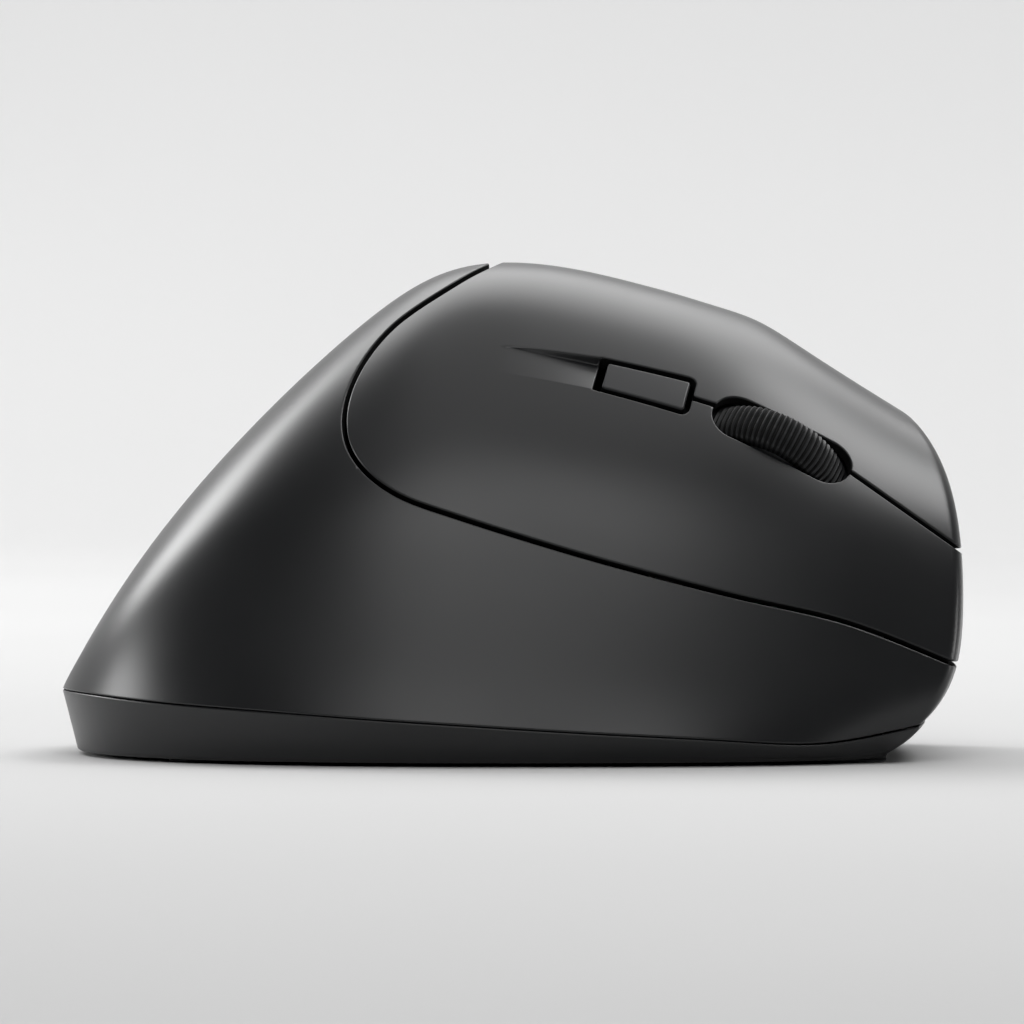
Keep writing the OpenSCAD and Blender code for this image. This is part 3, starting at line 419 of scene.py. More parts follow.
# %% Seam lines
PANEL_LINE = smooth_line([(64, 10.4), (58.2, 13.1), (44, 18.7), (28.5, 22.4), (10.7, 27.1), (-7, 32.5),
                          (-15.6, 35.7), (-20.7, 40), (-22.3, 45.2), (-20.6, 51.4), (-15.8, 57.6),
                          (-7.8, 63.1), (-2.8, 65.8), (3, 68.2)])
RIDGE_LINE = smooth_line([(-5, 8), (-2.8, 10.5), (3, 14.8), (10, 17), (28, 16.6), (45, 14),
                          (54, 10.5), (64, 9)])
THUMB_LINE = smooth_line([(2, 70), (-4.5, 62), (-13, 38), (-20, 18), (-25, -4)])
SEAM = 0.6
RIDGE_SEAM = 1.0
panel_outline = np.vstack([PANEL_LINE, [(FAR, FAR), (FAR, PANEL_LINE[0, 1])]])
right_outline = np.vstack([[(-FAR, -FAR), (-FAR, RIDGE_LINE[0, 1])], RIDGE_LINE,
                           [(FAR, RIDGE_LINE[-1, 1]), (FAR, -FAR)]])
thumb_outline = np.vstack([THUMB_LINE, [(FAR, THUMB_LINE[-1, 1]), (FAR, FAR)]])


FROM_SIDE, FROM_ABOVE = [0, 2], [0, 1]


def within(outline, seen):
    """Distance into an outline that is drawn on those two axes."""
    return lambda p: inside_of(p[:, seen], outline)


side_of_panel = within(panel_outline, FROM_SIDE)
right_of_ridge = within(right_outline, FROM_ABOVE)
ahead_of_thumb_line = within(thumb_outline, FROM_SIDE)
SLOT_HALF = (10.0, 3.8)
SLOT_ROUND = 3.7
POCKET_MIDDLE = (-0.35, 0.28)
POCKET_HALF = (6.55, 3.4)
POCKET_ROUND, POCKET_BACK_ROUND = 1.2, 0.3
POCKET_WIDENS = 0.011


def in_slot(p):
    return rounded_box(local(p, wheel_point, wheel_axes), SLOT_HALF, SLOT_ROUND)


def pocket_plane(p):
    """Place of a point in the small key's pocket, which grows a little wider towards the nose."""
    q = local(p, speed_point, speed_axes)[:, :2] - POCKET_MIDDLE
    q[:, 1] /= 1 + POCKET_WIDENS * np.clip(q[:, 0], -POCKET_HALF[0], POCKET_HALF[0])
    return q


def in_pocket(p):
    """Distance into the pocket: round corners at its front, nearly sharp ones at its back."""
    q = pocket_plane(p)
    back = rounded_box(q + (POCKET_ROUND, 0), np.array(POCKET_HALF) - (POCKET_ROUND, 0), POCKET_BACK_ROUND)
    return np.maximum(rounded_box(q, POCKET_HALF, POCKET_ROUND), back)


print("seam points:", len(PANEL_LINE), len(RIDGE_LINE), len(THUMB_LINE))

# %% [markdown]
# ## Cutting a sheet along its seams
# A boolean would leave ragged slivers along a seam. Instead the sheet is cut flat, in its own (u, t) plane:
# the line where the distance is zero is found on a fine grid, and a constrained Delaunay triangulation
# joins that line and a regular field of points. Points are placed closer along the seam, where the edge
# rolls over.

# %% Zero line on a grid
def zero_line(value, u_lines, t_lines):
    """Points and segments of the line where value is zero, on the grid of u and t lines."""
    points, segments, index = [], [], {}

    def crossing(i, j, k, m):
        key = (i, j, k, m)
        if key not in index:
            a, b = value[i, j], value[k, m]
            f = a / (a - b)
            index[key] = len(points)
            points.append((u_lines[i] + f * (u_lines[k] - u_lines[i]),
                           t_lines[j] + f * (t_lines[m] - t_lines[j])))
        return index[key]

    on = value > 0
    mixed = (on[:-1, :-1] != on[1:, :-1]) | (on[:-1, :-1] != on[:-1, 1:]) | (on[:-1, :-1] != on[1:, 1:])
    for i, j in zip(*np.nonzero(mixed)):
        sides = ((i, j, i + 1, j), (i + 1, j, i + 1, j + 1), (i, j + 1, i + 1, j + 1), (i, j, i, j + 1))
        cut = [crossing(*s) for s in sides if on[s[0], s[1]] != on[s[2], s[3]]]
        segments += [(cut[k], cut[k + 1]) for k in range(0, len(cut) - 1, 2)]
    return points, segments


print("zero lines run through grid cells")

# %% [markdown]
# The sheet's edge is rounded by a small radius: within that distance of the seam the skin sinks along a
# quarter circle, and its shading turns with it. Below the round the wall goes straight down to the inner
# face, so that every skin is a closed shell of real thickness. The grid has its lines closer to the crease.

# %% Sheets
BODY_U = np.concatenate([np.arange(U_LOW, 8.88, 0.035), np.arange(8.88, 9.0, 0.012), [9.0]])
FACE_U = np.concatenate([9 + np.arange(0, 0.13, 0.01), np.arange(9.14, 10, 0.03), [10.0]])
BODY_T = np.linspace(0, LAST_RAIL, 271)
CHORD_T = np.linspace(-1, 0, 51)[:-1]
FACE_T = np.concatenate([CHORD_T, BODY_T])
BODY_SPREAD = np.array([14.0, 18.0])
RIM_LOW_U, RIM_LOW_T, POLE_U, TINY = 0.05, 0.01, 9.999, 1e-6


def body_rim(u, t):
    """Distance to the lower edge of the skins."""
    along, across = slopes(body, np.clip(u, RIM_LOW_U, U_HIGH), np.clip(t, RIM_LOW_T, LAST_RAIL))
    wide, long = np.linalg.norm(across, axis=1), np.linalg.norm(along, axis=1)
    rim = np.minimum(np.minimum(t * wide, (LAST_RAIL - t) * wide), (u - BODY_U[0]) * long)
    return np.where(u < LAST_STATION, rim, np.where(t < 0, (u - LAST_STATION) * long, FAR))


def body_weld(u, t):
    """Edges of the flat sheet that close on themselves: the nose's middle and the line below it."""
    face = u > LAST_STATION + TINY
    return (u > POLE_U) | (face & ((t > LAST_RAIL - TINY) | (t < -1 + TINY)))


def patch(u_span, t_span):
    """One block of grid lines. Each span is (from, to, step)."""
    return ((np.arange(*u_span), np.arange(*t_span)),)


body_sheet = {
    "surface": body, "normal": body_normal, "rim": body_rim, "weld": body_weld, "spread": BODY_SPREAD,
    "blocks": ((BODY_U, BODY_T), (FACE_U, FACE_T)), "low": U_LOW, "high": U_HIGH,
    "valid": lambda u, t: (u > LAST_STATION) | (t > 0),
}
print("body grid:", len(BODY_U), "x", len(BODY_T), "and", len(FACE_U), "x", len(FACE_T))

# %% [markdown]
# A triangulation is only as good as its points. Three kinds go in: the seam and the rims as fixed lines, a
# few rings just inside them for the rolled edge, and a regular field over the rest. A ring follows the edge
# at an even distance, so each seam point is moved inwards along the steepest way on the sheet.

# %% Field of points on a cut sheet
LIP_STEPS = (0.06, 0.22, 0.5, 0.8, 1.05, 1.7)
EDGE_STEP, STEEP_LOW, STEEP_HIGH = 0.002, 0.2, 1.3
ON_EDGE, RING_NEAR = 0.05, 0.1


def sheet_distance(sheet, edge, u, t):
    return np.minimum(edge(sheet["surface"](u, t)), sheet["rim"](u, t))


def edge_frame(sheet, edge, u, t):
    """Distance to the edge in mm along the sheet, the way in from the edge, and (u, t) per mm that way."""
    def distance(a, b):
        return sheet_distance(sheet, edge, a, b)

    du, dt = slopes(distance, u, t, EDGE_STEP, EDGE_STEP)
    along, across = slopes(sheet["surface"], np.clip(u, sheet["low"], sheet["high"]), t)
    e, f, g = (along**2).sum(1), (along * across).sum(1), (across**2).sum(1)
    det = np.maximum(e * g - f * f, 1e-9)
    to_u, to_t = (g * du - f * dt) / det, (e * dt - f * du) / det
    way = along * to_u[:, None] + across * to_t[:, None]
    steep = np.maximum(np.linalg.norm(way, axis=1), 1e-6)
    rate = np.column_stack([to_u, to_t]) / steep[:, None]
    return distance(u, t) / np.clip(steep, STEEP_LOW, STEEP_HIGH), way / steep[:, None], rate


def sheet_points(sheet, edge, limit, lip, stride):
    """Points and fixed segments for the triangulation, in (u, t)."""
    points, segments = [], []
    for u_lines, t_lines in sheet["blocks"]:
        uu, tt = np.meshgrid(u_lines, t_lines, indexing="ij")
        on = sheet["surface"](uu.ravel(), tt.ravel())
        value, bound = edge(on).reshape(uu.shape), limit(on).reshape(uu.shape)
        if np.minimum(value, bound).max() <= 0:
            continue
        seam = np.zeros((0, 2))
        for grid in (bound, value):
            start = len(points)
            line, cuts = zero_line(grid, u_lines, t_lines)
            points += line
            segments += [(start + a, start + b) for a, b in cuts]
            seam = np.array(line).reshape(-1, 2)
        rims = [(u_lines, np.full(len(u_lines), t)) for t in (t_lines[0], t_lines[-1])]
        rims += [(np.full(len(t_lines), u), t_lines) for u in (u_lines[0], u_lines[-1])]
        for u, t in rims:
            start = len(points)
            points += list(zip(u, t))
            segments += [(start + k, start + k + 1) for k in range(len(u) - 1)]
            seam = np.vstack([seam, np.column_stack([u, t])])
        keep = sheet_distance(sheet, edge, seam[:, 0], seam[:, 1]) > -ON_EDGE
        keep &= limit(sheet["surface"](seam[:, 0], seam[:, 1])) > -ON_EDGE
        seam = seam[keep]
        near, _, rate = edge_frame(sheet, edge, seam[:, 0], seam[:, 1])
        for step in LIP_STEPS:
            moved = seam + rate * (step * lip)
            u_in = (moved[:, 0] > u_lines[0]) & (moved[:, 0] < u_lines[-1])
            t_in = (moved[:, 1] > t_lines[0]) & (moved[:, 1] < t_lines[-1])
            good = u_in & t_in & (near < RING_NEAR) & np.isfinite(moved).all(axis=1)
            points += [tuple(m) for m in moved[good]]
        deep = np.minimum(value, bound)[::stride, ::stride] > 2 * lip
        uu, tt = uu[::stride, ::stride], tt[::stride, ::stride]
        deep &= sheet["rim"](uu.ravel(), tt.ravel()).reshape(deep.shape) > 2 * lip
        points += list(zip(uu[deep], tt[deep]))
    extra = sheet.get("extra", np.zeros((0, 2)))
    clear = sheet_distance(sheet, edge, extra[:, 0], extra[:, 1]) > lip
    points += [tuple(p) for p in extra[clear]]
    return points, segments


print("edge rings at shares of the radius:", LIP_STEPS)

# %% [markdown]
# ## From a cut sheet to a closed shell
# The triangles on the piece are kept, the sheet's own joins are welded, and every open edge gets a wall down
# to the inner face. Each corner also stores which way it should shade: the rolled edge turns smoothly from
# the skin to the wall, which catches the thin line of light along a seam.

# %% Closed shells
def everywhere(p):
    return np.full(len(p), FAR)


def corner_shading(points, faces):
    """Shading for each corner of smooth faces, from the mean of the faces round a point."""
    facing = np.zeros_like(points)
    for f in faces:
        f = np.asarray(f)
        turn = np.cross(points[f[:, 2]] - points[f[:, 0]], points[f[:, -1]] - points[f[:, 1]])
        for k in range(f.shape[1]):
            np.add.at(facing, f[:, k], turn)
    return unit(facing)


def new_piece(name, *shells):
    """One object from shells of (points in mm, faces, shading of each face corner, count of outer faces)."""
    points, faces, shading, painted_shade_index = [], [], [], []
    for shell_points, shell_faces, shell_shading, outer in shells:
        faces += [[int(k) + len(points) for k in f] for f in shell_faces]
        points += (np.asarray(shell_points) * MM).tolist()
        shading += [tuple(v) for v in shell_shading]
        # Faces past the outer ones, the walls and the inner face, take the second finish: painted shade.
        painted_shade_index += [0] * outer + [1] * (len(shell_faces) - outer)
    mesh = bpy.data.meshes.new(name)
    mesh.from_pydata(points, [], faces)
    mesh.shade_smooth()
    mesh.normals_split_custom_set(shading)
    mesh.polygons.foreach_set("material_index", painted_shade_index)
    piece = bpy.data.objects.new(name, mesh)
    bpy.context.scene.collection.objects.link(piece)
    print(name, "has", len(faces), "faces")
    return piece


def welded(tris, points, joins):
    """Triangles with the joined points made one, and those that fold to nothing left out."""
    name = np.arange(len(points))
    at = np.flatnonzero(joins)
    if len(at):
        _, first, same = np.unique(points[at].round(4), axis=0, return_index=True, return_inverse=True)
        name[at] = at[first[same.ravel()]]
    tris = name[tris]
    real = (tris[:, 0] != tris[:, 1]) & (tris[:, 1] != tris[:, 2]) & (tris[:, 2] != tris[:, 0])
    return tris[real]


def open_edges(tris):
    sides = np.vstack([tris[:, [0, 1]], tris[:, [1, 2]], tris[:, [2, 0]]])
    there = {(a, b) for a, b in sides.tolist()}
    return [(a, b) for a, b in sides.tolist() if (b, a) not in there]


def cut_shell(sheet, edge, limit=everywhere, lip=0.22, wall=2.0, stride=2):
    surface, spread = sheet["surface"], sheet["spread"]
    points, segments = sheet_points(sheet, edge, limit, lip, stride)
    flat = [Vector((u * spread[0], t * spread[1])) for u, t in points]
    corners, _, found, *_ = delaunay_2d_cdt(flat, segments, [], 0, 1e-5)
    ut = np.array([(c.x, c.y) for c in corners]) / spread
    tris = np.array(found)
    mid = ut[tris].mean(axis=1)
    on = surface(mid[:, 0], mid[:, 1])
    tris = tris[sheet["valid"](mid[:, 0], mid[:, 1]) & (edge(on) > 0) & (limit(on) > 0)]
    used, tris = np.unique(tris, return_inverse=True)
    u, t = ut[used].T
    tris = tris.reshape(-1, 3)
    p, n = surface(u, t), sheet["normal"](u, t)
    tris = welded(tris, p, sheet["weld"](u, t))
    near, way, _ = edge_frame(sheet, edge, u, t)
    roll = np.clip(1 - near / lip, 0, 1)[:, None]
    level = np.sqrt(1 - roll**2)
    outer = p - n * lip * (1 - level)
    shade = unit(n * level - way * roll)
    inner = p - n * wall
    count = len(p)
    rims = open_edges(tris)
    faces = tris.tolist() + (tris[:, ::-1] + count).tolist()
    faces += [[b, a, a + count, b + count] for a, b in rims]
    shading = np.vstack([shade[tris.ravel()], -n[tris[:, ::-1].ravel()]])
    if rims:
        shading = np.vstack([shading, -way[np.array([(b, a, a, b) for a, b in rims]).ravel()]])
    both = np.vstack([outer, inner])
    used = np.zeros(len(both), bool)
    used[np.concatenate([np.array(f) for f in faces])] = True
    place_of = np.cumsum(used) - 1
    return both[used], [place_of[f] for f in faces], shading, len(tris)


def dress(piece, node, body, slot):
    """The piece stands for that CAD node, moves with that body and takes that slot's finish."""
    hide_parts(node)
    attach(piece, body)
    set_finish(piece, slot)


# %% [markdown]
# ## The palm shell
# The palm shell is the part the hand rests on: the whole back of the mouse, the lower right flank and the
# foot of the nose. It is everything that neither the finger panel nor the thumb panel takes, less the width
# of the seams.

# %% Palm shell
CROWN_FROM, CROWN_RUN, CROWN_EXTRA = 60.0, 5.0, 0.26
PALM_WALL = 1.2


def palm_edge(p):
    """Distance to the palm's edge. The thumb seam widens a little up to the crown."""
    ridge = right_of_ridge(p)
    thumb_seam = SEAM + CROWN_EXTRA * smooth_step((p[:, 2] - CROWN_FROM) / CROWN_RUN)
    panel_side = np.minimum(side_of_panel(p) + SEAM / 2, ridge + RIDGE_SEAM - SEAM / 2)
    thumb_side = np.minimum(-ridge - RIDGE_SEAM + SEAM, ahead_of_thumb_line(p) + thumb_seam)
    return np.minimum(-panel_side, -thumb_side)


palm_skin = new_piece("palm_skin", cut_shell(body_sheet, palm_edge, wall=PALM_WALL))
dress(palm_skin, "palm_shell", "base", "soft_shell")

# %% [markdown]
# ## The finger panel
# Behind the small key the panel is fixed, and a shallow scoop leads the fingertip to that key: deepest along
# its upper side and running out to nothing below. The scoop is a change of the sheet itself, so the panel
# is cut from a sheet that already dips there.

# %% Rear of the finger panel
SCOOP_LONG, SCOOP_DEEP, SCOOP_WALL, SCOOP_HOLLOW = 13.5, 1.15, 0.2, 1.25
WALL_SHARES = (1.3, 1.0, 0.8, 0.6, 0.4, 0.2)
TIP_MIDDLE, TIP_HALF = -1.0, 2.4
END_MIDDLE, END_HALF = 0.15, 3.0
DIVIDE_X = -6.1
pocket_back = POCKET_MIDDLE[0] - POCKET_HALF[0]


def scoop_span(x):
    """Middle and half width of the scoop, and how far along it a point is: 0 at the tip, 1 at the pocket."""
    f = (x - pocket_back + SCOOP_LONG) / SCOOP_LONG
    return TIP_MIDDLE + (END_MIDDLE - TIP_MIDDLE) * f, TIP_HALF + (END_HALF - TIP_HALF) * f, f


def scoop_depth(p):
    q = local(p, speed_point, speed_axes)
    middle, half, f = scoop_span(q[:, 0])
    across = q[:, 1] - middle
    floor = 1 - np.clip((half - across) / (2 * half), 0, 1) ** SCOOP_HOLLOW
    wall = smooth_step((half - across) / SCOOP_WALL)
    return np.where(f > 0, SCOOP_DEEP * f * floor * wall, 0)


def scooped(u, t):
    p = body(u, t)
    return p - body_normal(u, t) * scoop_depth(p)[:, None]


def panel_edge(p):
    return np.minimum(np.minimum(side_of_panel(p) - SEAM / 2, right_of_ridge(p)), -in_pocket(p))


def ahead_of_divide(p):
    return local(p, speed_point, speed_axes)[:, 0] - DIVIDE_X


steps_along = np.linspace(pocket_back - SCOOP_LONG - 1, pocket_back + 1, 64)
steps_across = np.concatenate([[-1.3, -1.1, -1.03], np.linspace(-1, 0.8, 14), [-0.96, 1.0, 1.15]])
scoop_grid = []
for x in steps_along:
    middle, half, _ = scoop_span(x)
    scoop_grid += [(x, middle + y * half) for y in steps_across]
    scoop_grid += [(x, middle + half - SCOOP_WALL * share) for share in WALL_SHARES]
scoop_sheet = dict(body_sheet, surface=scooped, normal=normal_of(scooped),
                   extra=find(np.array(scoop_grid), speed_point, speed_axes),
                   blocks=patch((2.8, 6.4, 0.02), (2.0, 6.2, 0.02)))
shell = cut_shell(scoop_sheet, panel_edge, lambda p: -ahead_of_divide(p), stride=3)
panel_back = new_piece("panel_back", shell)
dress(panel_back, "finger_panel", "base", "soft_shell")

# %% [markdown]
# ## The two main keys
# The front of the panel is split into the index key above and the middle key below, with the wheel and the
# small key in openings between them. On the real part they are tongues of the panel that bend a little when
# pressed; here each one is cut as a still piece of skin.

# %% Index and middle keys
KEY_WALL, BEND_END_X = 1.4, 2


def key_edge(p, side):
    split = side * (p[:, 2] - split_height(p[:, 0])) - SEAM / 2
    return np.minimum(np.minimum(panel_edge(p), -in_slot(p)), split)


FINE_U = np.concatenate([np.arange(4.8, 8.87, 0.018), BODY_U[BODY_U > 8.87]])
FINE_T = np.concatenate([BODY_T[BODY_T < 2.2], np.arange(2.2, 4.7, 0.017), BODY_T[BODY_T > 4.7]])
front_sheet = dict(body_sheet, blocks=((FINE_U, FINE_T), (FACE_U, FACE_T)))
for name, side in (("index", 1), ("middle", -1)):
    shell = cut_shell(front_sheet, lambda p: key_edge(p, side), ahead_of_divide, wall=KEY_WALL, stride=3)
    key = new_piece(name + "_key", shell)
    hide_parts(name + "_button")
    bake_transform(key)
    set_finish(key, "soft_shell")

# %% [markdown]
# ## The thumb side
# The photograph doesn't show the thumb side. A right-handed vertical mouse has a hollow there for the thumb
# and two keys above it, so the thumb panel is cut with two slanted openings and each gets a key that stands
# a little proud.

# %% Thumb panel and keys
THUMB_MID = np.array([17.2, 52.8])
THUMB_LONG, THUMB_HIGH, THUMB_ROUND, THUMB_GAP = 18.4, 8.0, 1.6, 0.5
THUMB_SLOPE, THUMB_SKEW = -0.28, 0.12
THUMB_PROUD, THUMB_LIP, THUMB_FROM_Y = 0.3, 0.5, 6
skew = np.array([[1, THUMB_SKEW], [THUMB_SLOPE, 1]])


def in_thumb_key(p, side, grow=0.0):
    centre = THUMB_MID + side * (THUMB_LONG + THUMB_GAP) / 2 * np.array([1, THUMB_SLOPE])
    q = (p[:, FROM_SIDE] - centre) @ np.linalg.inv(skew).T
    return rounded_box(q, (THUMB_LONG / 2 + grow, THUMB_HIGH / 2 + grow), THUMB_ROUND + grow)


def thumb_edge(p):
    panel = np.minimum(-right_of_ridge(p) - RIDGE_SEAM, ahead_of_thumb_line(p))
    keys = np.maximum(in_thumb_key(p, 1, THUMB_GAP), in_thumb_key(p, -1, THUMB_GAP))
    return np.minimum(panel, np.where(p[:, 1] > THUMB_FROM_Y, -keys, FAR))


thumb_sheet = dict(body_sheet, blocks=((BODY_U[BODY_U > 2.5], BODY_T), (FACE_U, FACE_T)))
thumb_skin = new_piece("thumb_skin", cut_shell(thumb_sheet, thumb_edge))
dress(thumb_skin, "thumb_panel", "base", "thumb_grip")


def proud_body(u, t):
    return body(u, t) + body_normal(u, t) * THUMB_PROUD


proud_sheet = dict(body_sheet, surface=proud_body, blocks=patch((3.9, 8.2, 0.025), (4.6, 8.2, 0.025)))
for name, side in (("forward", 1), ("back", -1)):
    key = new_piece(name + "_key", cut_shell(proud_sheet, lambda p: in_thumb_key(p, side), lip=THUMB_LIP))
    dress(key, name + "_button", name + "_button", "key_black")

# %% [markdown]
# ## The small key between
# The speed key is a narrow bar in its pocket, flush with the skin, with edges just soft enough to show a
# thin bright line in the photograph.

# %% Speed key
KEY_SHIFT, KEY_HALF, KEY_ROUND = (0.17, 0), (5.67, 2.5), 0.4


def speed_edge(p):
    return rounded_box(pocket_plane(p) - KEY_SHIFT, KEY_HALF, KEY_ROUND)


speed_sheet = dict(body_sheet, blocks=patch((5.2, 7.2, 0.014), (2.4, 4.6, 0.012)))
speed_key = new_piece("speed_key", cut_shell(speed_sheet, speed_edge, lip=0.35, wall=1.6))
dress(speed_key, "dpi_button", "dpi_button", "key_black")

# %% [markdown]
# ## The wheel's tyre
# The rubber tyre is ribbed across, so that a fingertip can turn it. A bump map would leave its outline
# smooth, so the ribs are real: each row across the tyre runs round all ribs with a dozen points per rib.
# The faces at the bottom of a groove take the dull, near-black finish: painted shade in the grooves.

# %% Ribbed tyre
WHEEL_R, WHEEL_HALF, HUB_R, WHEEL_PROUD = 12.5, 3.2, 10.1, 2.2
RIBS, RIB_DEEP, RIB_POINTS = 96, 0.45, 12
RIB_SHARP, RIB_FADE, FADE_POWER = 2.5, 0.6, 6
CROWN_DROP, CROWN_POWER, GROOVE_SHADE_FROM = 1.2, 3.5, 0.8
TYRE_ROWS = 21
axle_point = wheel_point - wheel_axes[2] * (WHEEL_R - WHEEL_PROUD)
turn = np.arange(RIBS * RIB_POINTS) * 2 * math.pi / (RIBS * RIB_POINTS)
groove = 1 - (0.5 + 0.5 * np.cos(turn * RIBS)) ** RIB_SHARP
bore = np.full(len(turn), HUB_R)
rows = [(-WHEEL_HALF, bore)]
for share in np.linspace(-1, 1, TYRE_ROWS):
    ribs = RIB_DEEP * groove * (1 - RIB_FADE * abs(share) ** FADE_POWER)
    rows.append((share * WHEEL_HALF, WHEEL_R - CROWN_DROP * abs(share) ** CROWN_POWER - ribs))
rows.append((WHEEL_HALF, bore))
points = np.vstack([
    axle_point + (np.cos(turn) * r)[:, None] * wheel_axes[2] + (np.sin(turn) * r)[:, None] * wheel_axes[0]
    + y * wheel_axes[1] for y, r in rows])


def tube(points, rows, per_row):
    """Closed tube of smooth quads through rows of points."""
    here = np.arange(per_row)
    ahead = (here + 1) % per_row
    faces = []
    for k in range(rows):
        a, b = k * per_row, (k + 1) % rows * per_row
        faces.append(np.column_stack([a + here, a + ahead, b + ahead, b + here]))
    faces = np.vstack(faces)
    return points, faces, corner_shading(points, [faces])[faces.ravel()], len(faces)


tyre = new_piece("tyre", tube(points, len(rows), len(turn)))
# Faces deep in a groove take the second finish: painted shade in the grooves.
groove_shade_faces = (groove + np.roll(groove, -1)) / 2 > GROOVE_SHADE_FROM
tyre.data.polygons.foreach_set("material_index", np.tile(groove_shade_faces, len(rows)).astype(int))
dress(tyre, "wheel_tyre", "wheel", "tyre_rubber")

# %% [markdown]
# ## The base's band
# Below the skins a plain band leans inwards to the underside, and at the nose it runs back further, so the
# mouse seems to float. The frame's base has the same form in flat facets. A loft along the skins' own lower
# edge gives it smooth, with a small round at the top and at the bottom.

# %% Base band
BASE_LEAN, BASE_WALL, BASE_LIFT, RIM_GAP = 1.9, 1.9, 0.5, 0.18
NOSE_LEAN, NOSE_LIFT, LIFT_FROM, LIFT_TO = 4.0, 1.8, 44.0, 59.0
FOOT_ROUND, TOP_ROUND = 0.5, 0.2
LAP, LAP_LIFT, CORNER_FAN = 0.25, 0.02, 3
LEAN_POWER, RIM_DROP = 2.24, 0.8
FLOOR_Z = BASE_LIFT + BASE_WALL

run = np.linspace(0, LAST_STATION, 181)
below = np.linspace(0, -1, 41)[1:-1]
edge_u = np.concatenate([run, np.full(len(below), float(LAST_STATION)), run[:0:-1]])
edge_t = np.concatenate([np.zeros(len(run)), below, np.full(len(run) - 1, float(LAST_RAIL))])
lower_edge = sharp_body(edge_u, edge_t)
heading = np.roll(lower_edge, -1, axis=0) - np.roll(lower_edge, 1, axis=0)
inward = unit(np.column_stack([-heading[:, 1], heading[:, 0], np.zeros(len(heading))]))
inward = unit(sum(np.roll(inward, k, axis=0) for k in range(-CORNER_FAN, CORNER_FAN + 1)))


def nose_share(x):
    return np.maximum(0, (x - LIFT_FROM) / (LIFT_TO - LIFT_FROM))


def under_z(x):
    return BASE_LIFT + NOSE_LIFT * nose_share(x) ** 2


def base_row(inset, nose_inset, share, lift):
    p = lower_edge + inward * inset
    p[:, 0] -= nose_inset * nose_share(lower_edge[:, 0])
    p[:, 2] = share * (lower_edge[:, 2] - RIM_GAP) + (1 - share) * under_z(p[:, 0]) + lift
    return p


foot_inset = BASE_LEAN + FOOT_ROUND
rows = [base_row(foot_inset + LAP, NOSE_LEAN, 0, LAP_LIFT)]
for turn in np.radians((0, 22, 45, 68)):
    inset = BASE_LEAN + FOOT_ROUND * (1 - math.sin(turn))
    rows.append(base_row(inset, NOSE_LEAN, 0, FOOT_ROUND * (1 - math.cos(turn))))
for share in np.linspace(0, 1, 13):
    lift = FOOT_ROUND * (1 - share) - TOP_ROUND * share
    rows.append(base_row(BASE_LEAN * (1 - share), NOSE_LEAN * (1 - share) ** LEAN_POWER, share, lift))
for turn in np.radians((22, 45, 68, 90)):
    rows.append(base_row(TOP_ROUND * (1 - math.cos(turn)), 0, 1, TOP_ROUND * (math.sin(turn) - 1)))
rows.append(base_row(BASE_WALL, 0, 1, -RIM_DROP))
rows.append(base_row(foot_inset + LAP, NOSE_LEAN, 0, BASE_WALL))
band = tube(np.vstack(rows), len(rows), len(lower_edge))
print("band rows:", len(rows), "of", len(lower_edge), "points")

# %% [markdown]
# ## The underside
# The photograph hides the underside. It gets what such a mouse needs there: the battery's opening, a pocket
# for the receiver, the sensor's window, a slot for the power switch, screw holes and recesses for the feet.
# Their places are read from the frame. The plate is one more sheet, cut the same way as the skins.

# %% Places on the underside
FOOT_HALF = np.array([6.5, 3.0])
HEAD_FLAT, HEADS_APART = 0.1, 4.5


def plan(node):
    """Middle and half size of a CAD node seen from above, in mm."""
    low, high = (np.array(v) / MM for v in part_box(node))
    return (low + high)[:2] / 2, (high - low)[:2] / 2


def heads(node):
    """Middles of the screw heads of a node: the groups of its lowest points."""
    p = np.array([nodes[node].matrix_world @ v.co for v in nodes[node].data.vertices]) / MM
    p = p[p[:, 2] < p[:, 2].min() + HEAD_FLAT][:, :2]
    middles = []
    while len(p):
        group = np.linalg.norm(p - p[0], axis=1) < HEADS_APART
        middles.append((p[group].min(axis=0) + p[group].max(axis=0)) / 2)
        p = p[~group]
    return middles


foot_middles = []
for node in ("front_feet", "rear_feet"):
    middle, half = plan(node)
    reach = half[1] - FOOT_HALF[1]
    foot_middles.append([middle + (0, side * reach) for side in (-1, 1)])
screw_middles = {node: heads(node) for node in ("case_screws", "chassis_screws")}
all_screws = [at for group in screw_middles.values() for at in group]
door_middle, door_half = plan("battery_door")
cap_middle, cap_half = plan("receiver_cap")
lens_middle, _ = plan("sensor_lens")
slider_middle, _ = plan("power_slider")
print("screws:", {node: len(at) for node, at in screw_middles.items()})

# %% [markdown]
# Every opening is a distance again, and the plate is what lies outside all of them. Each opening is a little
# larger than the part that sits in it, so that a fine line shows round the part, as on a real moulding.

# %% Underside plate
KNOB_HALF, KNOB_TRAVEL, KNOB_GAP = np.array([3.1, 2.0]), 3.0, 0.2
DOOR_GAP, POCKET_GAP, FOOT_GAP = 0.3, 0.25, 0.1
WINDOW_HALF = np.array([4.5, 3.0])
HEAD_BORE, SCREW_LAND = 2.2, 0.7
DOOR_CORNER, POCKET_CORNER, WINDOW_CORNER, KNOB_CORNER = 0.6, 0.9, 1.2, 0.6


def flat_sheet(height, low, high, step, relief=None):
    """Sheet that faces down, with u along y and t along x. Its height may change over the plane."""
    def surface(u, t):
        z = height(t) if callable(height) else np.full(len(u), float(height))
        if relief is not None:
            z = z + relief(t, u)
        return np.column_stack([t, u, z])

    lines = [np.arange(low[k], high[k] + step, step) for k in (1, 0)]
    return {"surface": surface, "normal": normal_of(surface, -FAR, FAR), "low": -FAR, "high": FAR,
            "rim": lambda u, t: np.full(len(u), FAR), "weld": lambda u, t: np.zeros(len(u), bool),
            "valid": lambda u, t: np.ones(len(u), bool), "spread": np.ones(2), "blocks": (tuple(lines),)}


def box_at(p, middle, half, r):
    return rounded_box(p[:, :2] - middle, half, r)


